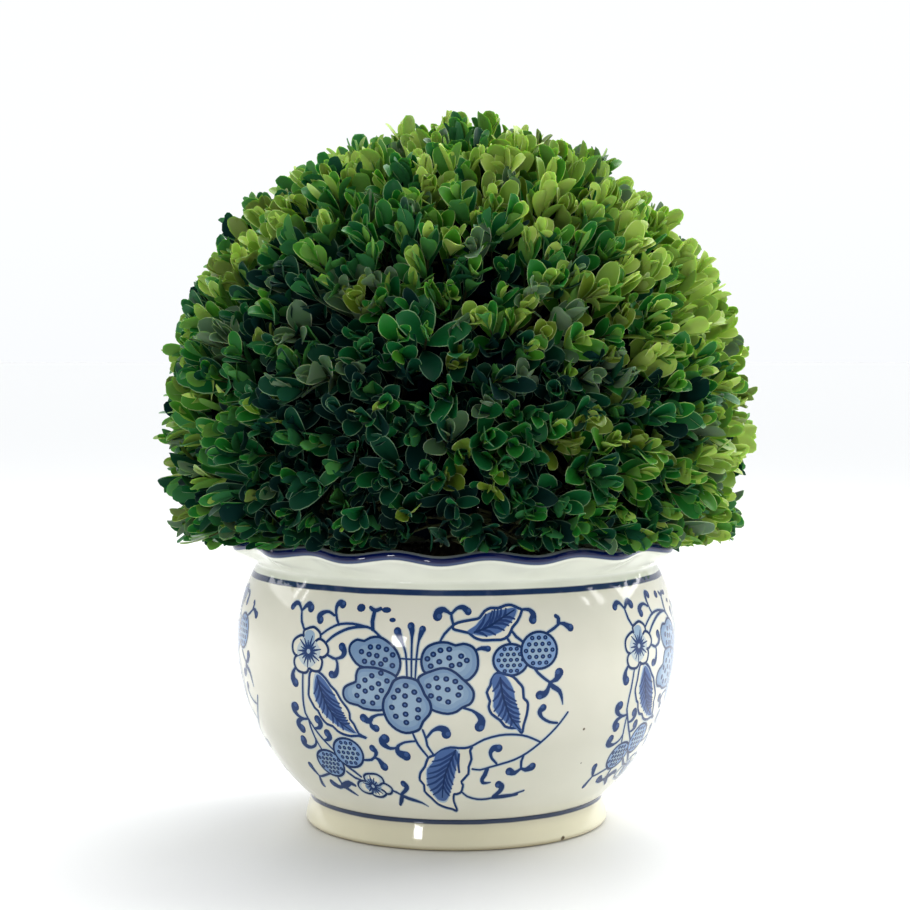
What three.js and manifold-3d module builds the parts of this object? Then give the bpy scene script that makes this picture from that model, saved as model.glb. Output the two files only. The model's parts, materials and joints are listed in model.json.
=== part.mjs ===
// Box topiary ball: a clipped box plant in a footed, glazed pot with a scalloped rim.
// Units are millimetres and +Z is up. The origin is the middle of the pot's foot,
// on the surface that it stands on. The pot's front faces -Y.

import * as THREE from "three";
import { mergeVertices } from "three/addons/utils/BufferGeometryUtils.js";
import Module from "manifold-3d";

// The pot's body is two arcs that meet at the belly: a large one below and a tighter shoulder above.
const BELLY_RADIUS = 108;
const BELLY_HEIGHT = 90.5;
const LOWER_ARC_RADIUS = 100;
const SHOULDER_ARC_RADIUS = 74;
const WALL = 6;
const LOWER_ARC_DIVISIONS = 4;
const SHOULDER_ARC_DIVISIONS = 2;

// The foot is a low drum with a raised underside, so that the pot stands on a flat ring.
const FOOT_RADIUS = 74.8;
const FOOT_CREASE_HEIGHT = 13.8;
const FOOT_EDGE_ROUND = 1.5;
const FOOT_RING_WIDTH = 8;
const FOOT_RECESS = 4;
const FLOOR_TOP = 11;

// Above the neck the collar flares out to a thick rounded lip.
const NECK_HEIGHT = 127.7;
const LIP_UNDERSIDE = 136;
const LIP_TOP = 141.6;
const LIP_RADIUS = 110.5;
const LIP_THICKNESS = 6;
const LIP_INNER_EDGE_DROP = 0.8;
const COLLAR_STEPS = 3;

// The bends of the collar's two faces are set out from the neck's outer and inner edges, and the
// lip's round edge from its outer radius and its underside.
const FLARE_BEND = new THREE.Vector2(5, 4.5);
const INSIDE_BEND = new THREE.Vector2(4, 6);
const LIP_SECTION = [
  new THREE.Vector2(-1, 0),
  new THREE.Vector2(1, 2),
  new THREE.Vector2(0.5, LIP_TOP - LIP_UNDERSIDE),
  new THREE.Vector2(-2.5, LIP_TOP - LIP_UNDERSIDE),
];

// The lip waves out and down in equal lobes. The phase turns one of them to the pot's front.
const LOBE_COUNT = 16;
const LOBE_REACH = 1.5;
const LOBE_DROP = 1.1;
const LOBE_PHASE = THREE.MathUtils.degToRad(3.7);
const SEGMENTS_PER_LOBE = 5;

// Soil fills the pot to a little below the rim, and is level where the stem leaves it.
const SOIL_TOP = 129;
const SOIL_SLOPE_DROP = 2;
const SOIL_LEVEL_RADIUS = 30;
const SOIL_SEGMENTS = 48;
const GAP = 0.4;

// The stem is short and hidden. It flares at the soil, leans a little and ends inside the leaves.
const STEM_LENGTH = 66;
const STEM_FOOT_RADIUS = 9;
const STEM_TIP_RADIUS = 6;
const STEM_FLARE = 4.5;
const STEM_FLARE_HEIGHT = 7;
const STEM_LEAN = 4;
const STEM_RINGS = 10;
const STEM_SIDES = 20;
const STEM_RING_CROWDING = 1.6;
const ROOT_RIDGES = 5;
const ROOT_RIDGE_DEPTH = 0.14;
const ROOT_RIDGE_FADE = 8;

// The clipped leaves fill a ball that is cut level just above the pot's rim.
const BALL_BASE = LIP_TOP + LOBE_DROP + GAP;
const BALL_RADIUS = 145;
const BALL_HALF_HEIGHT = 149;
const BALL_CENTRE_HEIGHT = 195;
const BALL_SQUARENESS = 2.1;
const BALL_EDGE_ROUND = 7;
const BALL_EDGE_STEPS = 3;
const BALL_SIDE_STEPS = 20;
const BALL_SEGMENTS = 60;
const BALL_UNEVENNESS = 0.9;
const BALL_UNEVENNESS_FADE = 21;

// Each wave of the ball's unevenness has a direction with its spatial frequency, and a phase.
const BALL_WAVES = [
  { direction: new THREE.Vector3(13, 6, 5), phase: 0.4 },
  { direction: new THREE.Vector3(-8, 12, 7), phase: 2.1 },
  { direction: new THREE.Vector3(4, -11, 13), phase: 4.0 },
];

const GLAZE_FINISH = { color: 0xe2dfce, roughness: 0.12 };
const SOIL_FINISH = { color: 0x2e231a, roughness: 0.95 };
const BARK_FINISH = { color: 0x6b5740, roughness: 0.8 };
const LEAF_FINISH = { color: 0x2f5a22, roughness: 0.5 };

const wasm = await Module();
wasm.setup();

// Turns a profile of radius and height round the Z axis.
function lathe(profile, segments) {
  return new THREE.LatheGeometry(profile, segments).rotateX(Math.PI / 2);
}

// Moves every vertex of a geometry by a function that edits the point it is given.
function reshape(geometry, edit) {
  const positions = geometry.attributes.position;
  const point = new THREE.Vector3();
  for (let index = 0; index < positions.count; index += 1) {
    point.fromBufferAttribute(positions, index);
    edit(point);
    positions.setXYZ(index, point.x, point.y, point.z);
  }
  return geometry;
}

function toSolid(geometry) {
  const bare = geometry.clone();
  bare.deleteAttribute("normal");
  bare.deleteAttribute("uv");
  const merged = mergeVertices(bare);
  return new wasm.Manifold(
    new wasm.Mesh({
      numProp: 3,
      vertProperties: new Float32Array(merged.attributes.position.array),
      triVerts: new Uint32Array(merged.index.array),
    }),
  );
}

function toGeometry(solid) {
  const mesh = solid.getMesh();
  const geometry = new THREE.BufferGeometry();
  geometry.setAttribute("position", new THREE.BufferAttribute(mesh.vertProperties, 3));
  geometry.setIndex(new THREE.BufferAttribute(mesh.triVerts, 1));
  geometry.computeVertexNormals();
  return geometry;
}

// An arc of the body's wall, moved in from the outer face by an inset, from one height to another.
// A path gives two points for each division of an arc.
function wallArc(arcRadius, inset, fromHeight, toHeight, divisions) {
  const radius = arcRadius - inset;
  const centre = BELLY_RADIUS - arcRadius;
  const fromAngle = Math.asin((fromHeight - BELLY_HEIGHT) / radius);
  const toAngle = Math.asin((toHeight - BELLY_HEIGHT) / radius);
  const arc = new THREE.Path();
  arc.absarc(centre, BELLY_HEIGHT, radius, fromAngle, toAngle, toHeight < fromHeight);
  return arc.getPoints(divisions);
}

// The outer face of the foot and body, from the foot's ring up to the neck.
function outerWall() {
  const footEdge = new THREE.Path();
  footEdge.absarc(FOOT_RADIUS - FOOT_EDGE_ROUND, FOOT_EDGE_ROUND, FOOT_EDGE_ROUND, -Math.PI / 2, 0);
  return [
    ...footEdge.getPoints(1),
    ...wallArc(LOWER_ARC_RADIUS, 0, FOOT_CREASE_HEIGHT, BELLY_HEIGHT, LOWER_ARC_DIVISIONS),
    ...wallArc(SHOULDER_ARC_RADIUS, 0, BELLY_HEIGHT, NECK_HEIGHT, SHOULDER_ARC_DIVISIONS).slice(1),
  ];
}

// The flared collar and its lip, from the outer face of the neck over to the inner face.
function collar(neckOuter, neckInner) {
  const lipCorner = new THREE.Vector2(LIP_RADIUS, LIP_UNDERSIDE);
  const lipPoints = LIP_SECTION.map((offset) => offset.clone().add(lipCorner));
  const flare = new THREE.QuadraticBezierCurve(
    neckOuter,
    neckOuter.clone().add(FLARE_BEND),
    lipPoints[0],
  );
  const lip = new THREE.CubicBezierCurve(...lipPoints);
  const inside = new THREE.QuadraticBezierCurve(
    new THREE.Vector2(LIP_RADIUS - LIP_THICKNESS, LIP_TOP - LIP_INNER_EDGE_DROP),
    neckInner.clone().add(INSIDE_BEND),
    neckInner,
  );
  return [
    ...flare.getPoints(COLLAR_STEPS).slice(1),
    ...lip.getPoints(COLLAR_STEPS).slice(1),
    ...inside.getPoints(COLLAR_STEPS),
  ];
}

// How far a height takes part in the scallops: nothing at the neck, all of it at the lip.
function lobeShare(height) {
  return THREE.MathUtils.smoothstep(height, NECK_HEIGHT, LIP_UNDERSIDE);
}

function makePot() {
  const outer = outerWall();
  const inner = [
    ...wallArc(SHOULDER_ARC_RADIUS, WALL, NECK_HEIGHT, BELLY_HEIGHT, 1),
    ...wallArc(LOWER_ARC_RADIUS, WALL, BELLY_HEIGHT, FLOOR_TOP + WALL, 2).slice(1),
  ];
  const profile = [
    new THREE.Vector2(0, FOOT_RECESS),
    new THREE.Vector2(FOOT_RADIUS - FOOT_RING_WIDTH - FOOT_RECESS, FOOT_RECESS),
    new THREE.Vector2(FOOT_RADIUS - FOOT_RING_WIDTH, 0),
    ...outer,
    ...collar(outer.at(-1), inner[0]),
    ...inner.slice(1),
    new THREE.Vector2(inner.at(-1).x - WALL, FLOOR_TOP),
    new THREE.Vector2(0, FLOOR_TOP),
  ];
  return reshape(lathe(profile, LOBE_COUNT * SEGMENTS_PER_LOBE), (point) => {
    const angle = Math.atan2(point.x, -point.y);
    const wave = lobeShare(point.z) * Math.cos(LOBE_COUNT * (angle + LOBE_PHASE));
    point.x += LOBE_REACH * wave * Math.sin(angle);
    point.y -= LOBE_REACH * wave * Math.cos(angle);
    point.z -= LOBE_DROP * wave;
  });
}

function makeSoil() {
  const inset = WALL + GAP;
  const edgeHeight = SOIL_TOP - SOIL_SLOPE_DROP;
  const wall = [
    ...wallArc(LOWER_ARC_RADIUS, inset, FLOOR_TOP + WALL + GAP, BELLY_HEIGHT, 2),
    ...wallArc(SHOULDER_ARC_RADIUS, inset, BELLY_HEIGHT, edgeHeight, 1).slice(1),
  ];
  return lathe(
    [
      new THREE.Vector2(0, FLOOR_TOP + GAP),
      new THREE.Vector2(wall[0].x - WALL, FLOOR_TOP + GAP),
      ...wall,
      new THREE.Vector2(SOIL_LEVEL_RADIUS, SOIL_TOP),
      new THREE.Vector2(0, SOIL_TOP),
    ],
    SOIL_SEGMENTS,
  );
}

// The stem's surface, grown outwards by a clearance when it is used to cut the leaves round it.
function stemGeometry(clearance) {
  const foot = SOIL_TOP + GAP - clearance;
  const length = STEM_LENGTH + 2 * clearance;
  const profile = [new THREE.Vector2(0, foot)];
  for (let ring = 0; ring <= STEM_RINGS; ring += 1) {
    const share = (ring / STEM_RINGS) ** STEM_RING_CROWDING;
    const taper = THREE.MathUtils.lerp(STEM_FOOT_RADIUS, STEM_TIP_RADIUS, share);
    const flare = STEM_FLARE * Math.exp((-share * length) / STEM_FLARE_HEIGHT);
    profile.push(new THREE.Vector2(taper + flare + clearance, foot + share * length));
  }
  profile.push(new THREE.Vector2(0, foot + length));
  return reshape(lathe(profile, STEM_SIDES), (point) => {
    const rise = (point.z - foot) / length;
    const angle = Math.atan2(point.y, point.x);
    const depth = ROOT_RIDGE_DEPTH * Math.exp(-rise * ROOT_RIDGE_FADE);
    const ridge = 1 + depth * Math.cos(ROOT_RIDGES * angle);
    point.set(point.x * ridge + STEM_LEAN * rise ** 2, point.y * ridge, point.z);
  });
}

// The ball's outline from the middle of its level underside, round the edge and up to the top.
function ballProfile() {
  const radiusAt = (height) => {
    const share = Math.abs(height - BALL_CENTRE_HEIGHT) / BALL_HALF_HEIGHT;
    return BALL_RADIUS * (1 - share ** BALL_SQUARENESS) ** (1 / BALL_SQUARENESS);
  };
  const start = BALL_BASE + BALL_EDGE_ROUND;
  const edge = new THREE.QuadraticBezierCurve(
    new THREE.Vector2(radiusAt(BALL_BASE) - BALL_EDGE_ROUND, BALL_BASE),
    new THREE.Vector2(radiusAt(BALL_BASE), BALL_BASE),
    new THREE.Vector2(radiusAt(start), start),
  );
  const top = BALL_CENTRE_HEIGHT + BALL_HALF_HEIGHT;
  const side = [];
  for (let step = 1; step < BALL_SIDE_STEPS; step += 1) {
    const height = start + (top - start) * Math.sin((Math.PI / 2) * (step / BALL_SIDE_STEPS));
    side.push(new THREE.Vector2(radiusAt(height), height));
  }
  return [
    new THREE.Vector2(0, BALL_BASE),
    ...edge.getPoints(BALL_EDGE_STEPS),
    ...side,
    new THREE.Vector2(0, top),
  ];
}

// The uneven ball of leaves, centred over the pot, with a pocket cut for the stem.
function makeLeafBall() {
  const centre = new THREE.Vector3(0, 0, BALL_CENTRE_HEIGHT);
  const outward = new THREE.Vector3();
  const fadeEnd = BALL_BASE + BALL_UNEVENNESS_FADE;
  const ball = reshape(lathe(ballProfile(), BALL_SEGMENTS), (point) => {
    outward.subVectors(point, centre).normalize();
    let swell = 0;
    for (const { direction, phase } of BALL_WAVES) {
      swell += BALL_UNEVENNESS * Math.sin(direction.dot(outward) + phase);
    }
    swell *= THREE.MathUtils.smoothstep(point.z, BALL_BASE, fadeEnd);
    point.addScaledVector(outward, swell);
  });
  ball.computeBoundingBox();
  const middle = ball.boundingBox.getCenter(new THREE.Vector3());
  ball.translate(-middle.x, -middle.y, 0);
  return toGeometry(toSolid(ball).subtract(toSolid(stemGeometry(GAP))));
}

// One named mesh with its own plain finish.
function addNode(group, name, geometry, finish) {
  const mesh = new THREE.Mesh(geometry, new THREE.MeshStandardMaterial({ ...finish, metalness: 0 }));
  mesh.name = name;
  group.add(mesh);
}

const group = new THREE.Group();
addNode(group, "pot", makePot(), GLAZE_FINISH);
addNode(group, "soil", makeSoil(), SOIL_FINISH);
addNode(group, "stem", stemGeometry(0), BARK_FINISH);
addNode(group, "leaf_ball", makeLeafBall(), LEAF_FINISH);

export default group;
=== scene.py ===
"""The looks of a box topiary ball in a footed, glazed pot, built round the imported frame.

Sizes are in millimetres, and turn into metres where a mesh is made. The pot's front faces -Y.
"""

import json
import logging
import math
from dataclasses import dataclass, field
from enum import Enum, IntEnum
from random import Random
from typing import Sequence

import bpy
import numpy as np
from bpy.types import Material, Mesh, Node, NodeSocket, NodeTree, Object
from mathutils import Matrix, Vector, geometry, noise
from mathutils.bvhtree import BVHTree

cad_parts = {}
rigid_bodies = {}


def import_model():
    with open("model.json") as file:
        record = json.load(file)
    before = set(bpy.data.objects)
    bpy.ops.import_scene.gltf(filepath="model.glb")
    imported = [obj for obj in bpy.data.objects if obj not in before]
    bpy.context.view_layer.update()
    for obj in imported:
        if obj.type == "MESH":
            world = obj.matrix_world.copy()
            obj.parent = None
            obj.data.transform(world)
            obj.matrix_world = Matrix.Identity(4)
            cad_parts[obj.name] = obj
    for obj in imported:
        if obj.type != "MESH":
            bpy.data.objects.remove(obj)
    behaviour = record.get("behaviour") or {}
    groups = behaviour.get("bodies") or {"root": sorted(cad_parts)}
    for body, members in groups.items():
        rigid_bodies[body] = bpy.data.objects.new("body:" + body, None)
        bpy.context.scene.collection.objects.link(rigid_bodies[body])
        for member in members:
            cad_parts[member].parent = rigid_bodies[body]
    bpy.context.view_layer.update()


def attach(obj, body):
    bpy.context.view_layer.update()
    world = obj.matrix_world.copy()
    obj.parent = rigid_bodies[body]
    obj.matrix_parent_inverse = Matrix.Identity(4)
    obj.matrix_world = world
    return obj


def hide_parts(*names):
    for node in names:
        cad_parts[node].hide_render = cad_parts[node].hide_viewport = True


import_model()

log = logging.getLogger("box_topiary_ball")

MM = 0.001
BODY = "root"
Colour = tuple[int, int, int]
Place = tuple[float, float]
Point = tuple[float, float, float]
Value = NodeSocket | float
# A colour at a distance along the pot's section, and one between two distances.
Stop = tuple[float, Colour]
Band = tuple[float, float, Colour]


def linear(colour: Colour) -> tuple[float, ...]:
    """Turns a screen colour, from 0 to 255, into the linear one with full alpha that a shader takes."""
    shares = [channel / 255 for channel in colour]
    curve = [s / 12.92 if s <= 0.04045 else ((s + 0.055) / 1.055) ** 2.4 for s in shares]
    return (*curve, 1.0)


def smooth_step(low: float, high: float, value: float) -> float:
    """Rises smoothly from 0 at low to 1 at high."""
    share = min(1.0, max(0.0, (value - low) / (high - low)))
    return share * share * (3 - 2 * share)


def bezier(controls: Sequence[Place], steps: int) -> list[Place]:
    """Samples a Bezier curve of any degree.

    Args:
        controls: The control points of the curve.
        steps: The number of equal steps along it.

    Returns:
        The points from the start to the end, both included.
    """
    degree = len(controls) - 1
    points = []
    for step in range(steps + 1):
        t = step / steps
        weights = [math.comb(degree, k) * t**k * (1 - t) ** (degree - k) for k in range(degree + 1)]
        points.append(tuple(sum(w * c[axis] for w, c in zip(weights, controls)) for axis in (0, 1)))
    return points


def mesh_object(
    name: str,
    points: Sequence[Sequence[float]],
    faces: Sequence[Sequence[int]],
    edges: Sequence[Sequence[int]] = (),
) -> Object:
    """Makes a smooth mesh object at the origin.

    Args:
        name: The piece's name.
        points: The vertices, in millimetres.
        faces: The vertex numbers of each face.
        edges: Loose edges, for a mesh that holds only lines.

    Returns:
        The object, linked to the scene.
    """
    mesh = bpy.data.meshes.new(name)
    mesh.from_pydata((np.asarray(points) * MM).tolist(), list(edges), faces)
    mesh.update()
    if faces:
        mesh.shade_smooth()
    piece = bpy.data.objects.new(name, mesh)
    bpy.context.scene.collection.objects.link(piece)
    return piece


def set_attribute(mesh: Mesh, name: str, kind: str, domain: str, values: Sequence) -> None:
    """Stores one value for each point or face of a mesh.

    Args:
        mesh: The mesh that gets the attribute.
        name: The attribute's name.
        kind: FLOAT, INT or FLOAT_VECTOR.
        domain: POINT or FACE.
        values: One row for each point or face.
    """
    attribute = mesh.attributes.new(name, kind, domain)
    key = "vector" if kind == "FLOAT_VECTOR" else "value"
    number = np.int32 if kind == "INT" else np.float32
    attribute.data.foreach_set(key, np.asarray(values, number).ravel())


def revolve(profile: Sequence[Place], segments: int) -> tuple[np.ndarray, list[tuple[int, ...]]]:
    """Turns a profile round the Z axis into a closed shell.

    Args:
        profile: Radius and height, from one end on the axis to the other, outer face first.
        segments: The number of steps round the axis.

    Returns:
        The vertices and the faces. The first and last vertices are the poles.
    """
    angles = np.arange(segments) * 2 * math.pi / segments
    rings = [
        np.column_stack([r * np.sin(angles), -r * np.cos(angles), np.full(segments, z)])
        for r, z in profile[1:-1]
    ]
    first, last = (0.0, 0.0, profile[0][1]), (0.0, 0.0, profile[-1][1])
    points = np.vstack([[first], *rings, [last]])
    faces: list[tuple[int, ...]] = []
    end = len(points) - 1
    for step in range(segments):
        after = (step + 1) % segments
        faces.append((0, 1 + after, 1 + step))
        for ring in range(len(rings) - 1):
            low, high = 1 + ring * segments, 1 + (ring + 1) * segments
            faces.append((low + step, low + after, high + after, high + step))
        top = 1 + (len(rings) - 1) * segments
        faces.append((top + step, top + after, end))
    return points, faces


class NodeGraph:
    """Writes nodes into a shader or geometry tree."""

    def __init__(self, tree: NodeTree) -> None:
        """Keeps the tree that the nodes go into."""
        self.tree = tree

    def node(self, kind: str, inputs: dict | None = None, **settings: object) -> Node:
        """Adds one node.

        Args:
            kind: The node's type name.
            inputs: Values or output sockets, by the name or number of the input.
            **settings: The node's own properties.

        Returns:
            The new node.
        """
        made = self.tree.nodes.new(kind)
        for name, value in settings.items():
            setattr(made, name, value)
        for key, value in (inputs or {}).items():
            if isinstance(value, NodeSocket):
                self.link(value, made.inputs[key])
            else:
                made.inputs[key].default_value = value
        return made

    def link(self, source: NodeSocket, target: NodeSocket) -> None:
        """Links an output to an input."""
        self.tree.links.new(source, target)

    def maths(self, operation: str, *values: Value) -> NodeSocket:
        """Adds a Math node and returns its result."""
        return self.node("ShaderNodeMath", dict(enumerate(values)), operation=operation).outputs[0]

    def remap(
        self, value: NodeSocket, low: float, high: float, start: float = 0.0, end: float = 1.0
    ) -> NodeSocket:
        """Maps the range from low to high onto start to end, and holds the ends."""
        return self.node("ShaderNodeMapRange", {0: value, 1: low, 2: high, 3: start, 4: end}).outputs[0]

    def blend(self, share: Value, first: object, second: object, **settings: object) -> NodeSocket:
        """Mixes two colours by a share."""
        inputs = {0: share, 6: first, 7: second}
        return self.node("ShaderNodeMix", inputs, data_type="RGBA", **settings).outputs[2]

    def noise(self, place: NodeSocket, scale: float, detail: float) -> NodeSocket:
        """Adds a noise texture and returns its value."""
        inputs = {"Vector": place, "Scale": scale, "Detail": detail}
        return self.node("ShaderNodeTexNoise", inputs).outputs["Fac"]

    def relief(self, height: NodeSocket, strength: float, depth: float) -> NodeSocket:
        """Turns a height into a normal. The depth is in millimetres."""
        inputs = {"Height": height, "Strength": strength, "Distance": depth * MM}
        return self.node("ShaderNodeBump", inputs).outputs["Normal"]

    def attribute(self, name: str, kind: str) -> NodeSocket:
        """Reads a named attribute in a geometry tree."""
        made = self.node("GeometryNodeInputNamedAttribute", {"Name": name}, data_type=kind)
        return made.outputs["Attribute"]


class Recipe(NodeGraph):
    """A Geometry Nodes tree with named inputs, and the values that they take."""

    def __init__(self, name: str) -> None:
        """Starts an empty tree with one geometry input and one geometry output."""
        super().__init__(bpy.data.node_groups.new(name, "GeometryNodeTree"))
        self.values: dict[str, object] = {}
        self.socket("Geometry", "NodeSocketGeometry", "INPUT")
        self.socket("Geometry", "NodeSocketGeometry", "OUTPUT")
        self.start = self.node("NodeGroupInput")
        self.geometry = self.start.outputs["Geometry"]

    def socket(self, name: str, kind: str, side: str) -> str:
        """Adds a socket to the tree's interface and returns its identifier."""
        made = self.tree.interface.new_socket(name, in_out=side, socket_type=kind)
        return made.identifier

    def given(self, name: str, kind: str, value: object) -> NodeSocket:
        """Adds a named input, with the value that the modifier gives it."""
        self.values[self.socket(name, kind, "INPUT")] = value
        return self.start.outputs[name]

    def copies(
        self, points: NodeSocket, shape: NodeSocket, euler: NodeSocket, **more: object
    ) -> NodeSocket:
        """Sets a copy of a shape on each point, turned by Euler angles."""
        turn = self.node("FunctionNodeEulerToRotation", {0: euler}).outputs[0]
        inputs = {"Points": points, "Instance": shape, "Rotation": turn, **more}
        return self.node("GeometryNodeInstanceOnPoints", inputs).outputs[0]

    def run(self, piece: Object, geometry: NodeSocket, finishes: Sequence[Material]) -> None:
        """Ends the tree, runs it on a piece and keeps the result as a plain mesh with no modifier.

        Args:
            piece: The object whose mesh the tree starts from.
            geometry: What the tree has made so far.
            finishes: The one material, or those of the zones that the faces are numbered by.
        """
        geometry = self.node("GeometryNodeRealizeInstances", {"Geometry": geometry}).outputs[0]
        for zone, finish in enumerate(finishes):
            material = self.given(f"Finish {zone}", "NodeSocketMaterial", finish)
            inputs = {"Geometry": geometry, "Material": material}
            if len(finishes) > 1:
                pair = {2: self.attribute("zone", "INT"), 3: zone}
                same = self.node("FunctionNodeCompare", pair, data_type="INT", operation="EQUAL")
                inputs["Selection"] = same.outputs[0]
            geometry = self.node("GeometryNodeSetMaterial", inputs).outputs[0]
        self.node("NodeGroupOutput", {"Geometry": geometry})
        modifier = piece.modifiers.new("recipe", "NODES")
        modifier.node_group = self.tree
        for identifier, value in self.values.items():
            modifier[identifier] = value
        depsgraph = bpy.context.evaluated_depsgraph_get()
        made = bpy.data.meshes.new_from_object(piece.evaluated_get(depsgraph), depsgraph=depsgraph)
        piece.modifiers.remove(modifier)
        piece.data = made
        made.name = piece.name


class Slot(Enum):
    """The record's material slots."""

    GLAZE = "glaze"
    SOIL = "soil"
    BARK = "bark"
    LEAVES = "leaves"


def wear(piece: Object, slot: Slot, *nodes: str) -> None:
    """Finishes a piece: it rides on the plant's one body, and the CAD nodes that it stands for are hidden.

    Args:
        piece: The finished object.
        slot: The record's material slot; not used.
        *nodes: The CAD nodes that the piece stands for.
    """
    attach(piece, BODY)
    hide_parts(*nodes)
    piece.data.calc_loop_triangles()
    log.info("%s: %d triangles", piece.name, len(piece.data.loop_triangles))


def start_material(name: str) -> tuple[Material, NodeGraph, Node]:
    """Makes a material and gives it with its node graph and its shader."""
    material = bpy.data.materials.new(name)
    material.use_nodes = True
    return material, NodeGraph(material.node_tree), material.node_tree.nodes["Principled BSDF"]


@dataclass(frozen=True)
class PlainFinish:
    """A finish of one colour, for things so small that their shape carries the detail."""

    name: str
    colour: Colour
    roughness: float = 0.4
    specular: float = 0.5
    translucency: float = 0.0
    glow: Colour = (160, 220, 60)
    glow_depth: float = 1.2

    def make(self) -> Material:
        """Makes the material with every value on the shader's own sockets."""
        material, _, shader = start_material(self.name)
        shader.inputs["Base Color"].default_value = linear(self.colour)
        shader.inputs["Roughness"].default_value = self.roughness
        shader.inputs["Specular IOR Level"].default_value = self.specular
        shader.inputs["Subsurface Weight"].default_value = self.translucency
        shader.inputs["Subsurface Radius"].default_value = linear(self.glow)[:3]
        shader.inputs["Subsurface Scale"].default_value = self.glow_depth * MM
        return material


@dataclass(frozen=True)
class GlazeFinish:
    """The pot's off-white glaze, with its blue bands and rim painted along the wall's section, and with
    painted shade and light along it: a darker lower belly, a lighter wall above the lower band, a lighter
    collar and a painted shadow at the foot's edge.
    """

    body: Colour = (226, 223, 207)
    thin: Colour = (214, 208, 184)
    cloud: Colour = (240, 242, 238)
    # The collar's glaze is less yellow than the body's, and lightened as painted light against the shade
    # under the lip and the leaves.
    collar: Colour = (231, 233, 220)
    foot: Colour = (234, 228, 198)
    # Painted shade: the lower belly is darker than the rest of the body.
    shaded_low_body: Colour = (215, 213, 197)
    # Painted light: the wall just above the lower band is lighter, against the shade of the foot's corner.
    lightened_skirt: Colour = (241, 239, 223)
    # The unglazed edge under the foot, darkened further as painted shadow where the pot meets the floor.
    foot_edge: Colour = (188, 174, 138)
    lower_band: Colour = (48, 62, 90)
    upper_band: Colour = (34, 54, 92)
    # The paler blue where the glaze thins at the lip's lower edge, lightened a little as a painted
    # highlight.
    lip_low: Colour = (44, 64, 106)
    lip_high: Colour = (4, 18, 76)
    lip_edge: Colour = (70, 92, 122)
    lip_top: Colour = (222, 224, 206)
    speck: Colour = (84, 70, 46)
    specks: tuple[tuple[Point, float], ...] = (
        ((57.9, -85.1, 59.1), 0.8),
        ((57.2, -76.2, 41.7), 0.45),
        ((50.1, -55.2, 1.6), 1.5),
        ((-80.0, 64.8, 59.1), 0.7),
        ((80.0, 51.8, 41.7), 0.6),
    )
    speck_core: float = 0.6
    wobble: float = 0.5
    wobble_scale: float = 55.0
    soft_edge: float = 0.25
    cloud_scale: float = 22.0
    peel_scale: float = 150.0
    peel_depth: float = 0.6
    peel_strength: float = 0.06
    gloss: Place = (0.05, 0.1)

    def make(self, stops: Sequence[Stop], bands: Sequence[Band], length: float) -> Material:
        """Makes the glaze.

        Args:
            stops: The colours along the wall's section, each at its distance from the middle.
            bands: The brushed bands, each with the distances of its two edges.
            length: The section's whole length, in millimetres.

        Returns:
            The material, which reads the attribute named along.
        """
        material, graph, shader = start_material("pot_glaze")
        place = graph.node("ShaderNodeTexCoord").outputs["Object"]
        along = graph.node("ShaderNodeAttribute", attribute_name="along").outputs["Fac"]
        hand = graph.noise(place, self.wobble_scale, 2.0)
        run = graph.maths("ADD", along, graph.maths("MULTIPLY_ADD", hand, self.wobble, -self.wobble / 2))
        ramp = graph.node("ShaderNodeValToRGB", {"Fac": graph.maths("DIVIDE", run, length)})
        marks = ramp.color_ramp.elements
        marks.remove(marks[1])
        marks[0].position = stops[0][0] / length
        marks[0].color = linear(stops[0][1])
        for distance, colour in stops[1:]:
            marks.new(distance / length).color = linear(colour)
        painted = ramp.outputs["Color"]
        for start, end, colour in bands:
            gap = graph.maths("ABSOLUTE", graph.maths("SUBTRACT", run, (start + end) / 2))
            half = (end - start) / 2
            cover = graph.remap(gap, half - self.soft_edge, half + self.soft_edge, 1.0, 0.0)
            painted = graph.blend(cover, painted, linear(colour))
        cloud = graph.noise(place, self.cloud_scale, 5.0)
        tint = graph.remap(cloud, 0.35, 0.7, 0.0, 0.5)
        mottled = graph.blend(tint, painted, linear(self.cloud), blend_type="MULTIPLY")
        spots: Value = 0.0
        for centre, radius in self.specks:
            away = {0: place, 1: Vector(centre) * MM}
            gap = graph.node("ShaderNodeVectorMath", away, operation="DISTANCE").outputs["Value"]
            spot = graph.remap(gap, self.speck_core * radius * MM, radius * MM, 1.0, 0.0)
            spots = graph.maths("MAXIMUM", spots, spot)
        graph.link(graph.blend(spots, mottled, linear(self.speck)), shader.inputs["Base Color"])
        graph.link(graph.remap(cloud, 0.3, 0.7, *self.gloss), shader.inputs["Roughness"])
        height = graph.maths("SUBTRACT", graph.noise(place, self.peel_scale, 1.0), spots)
        normal = graph.relief(height, self.peel_strength, self.peel_depth)
        graph.link(normal, shader.inputs["Normal"])
        return material


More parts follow.
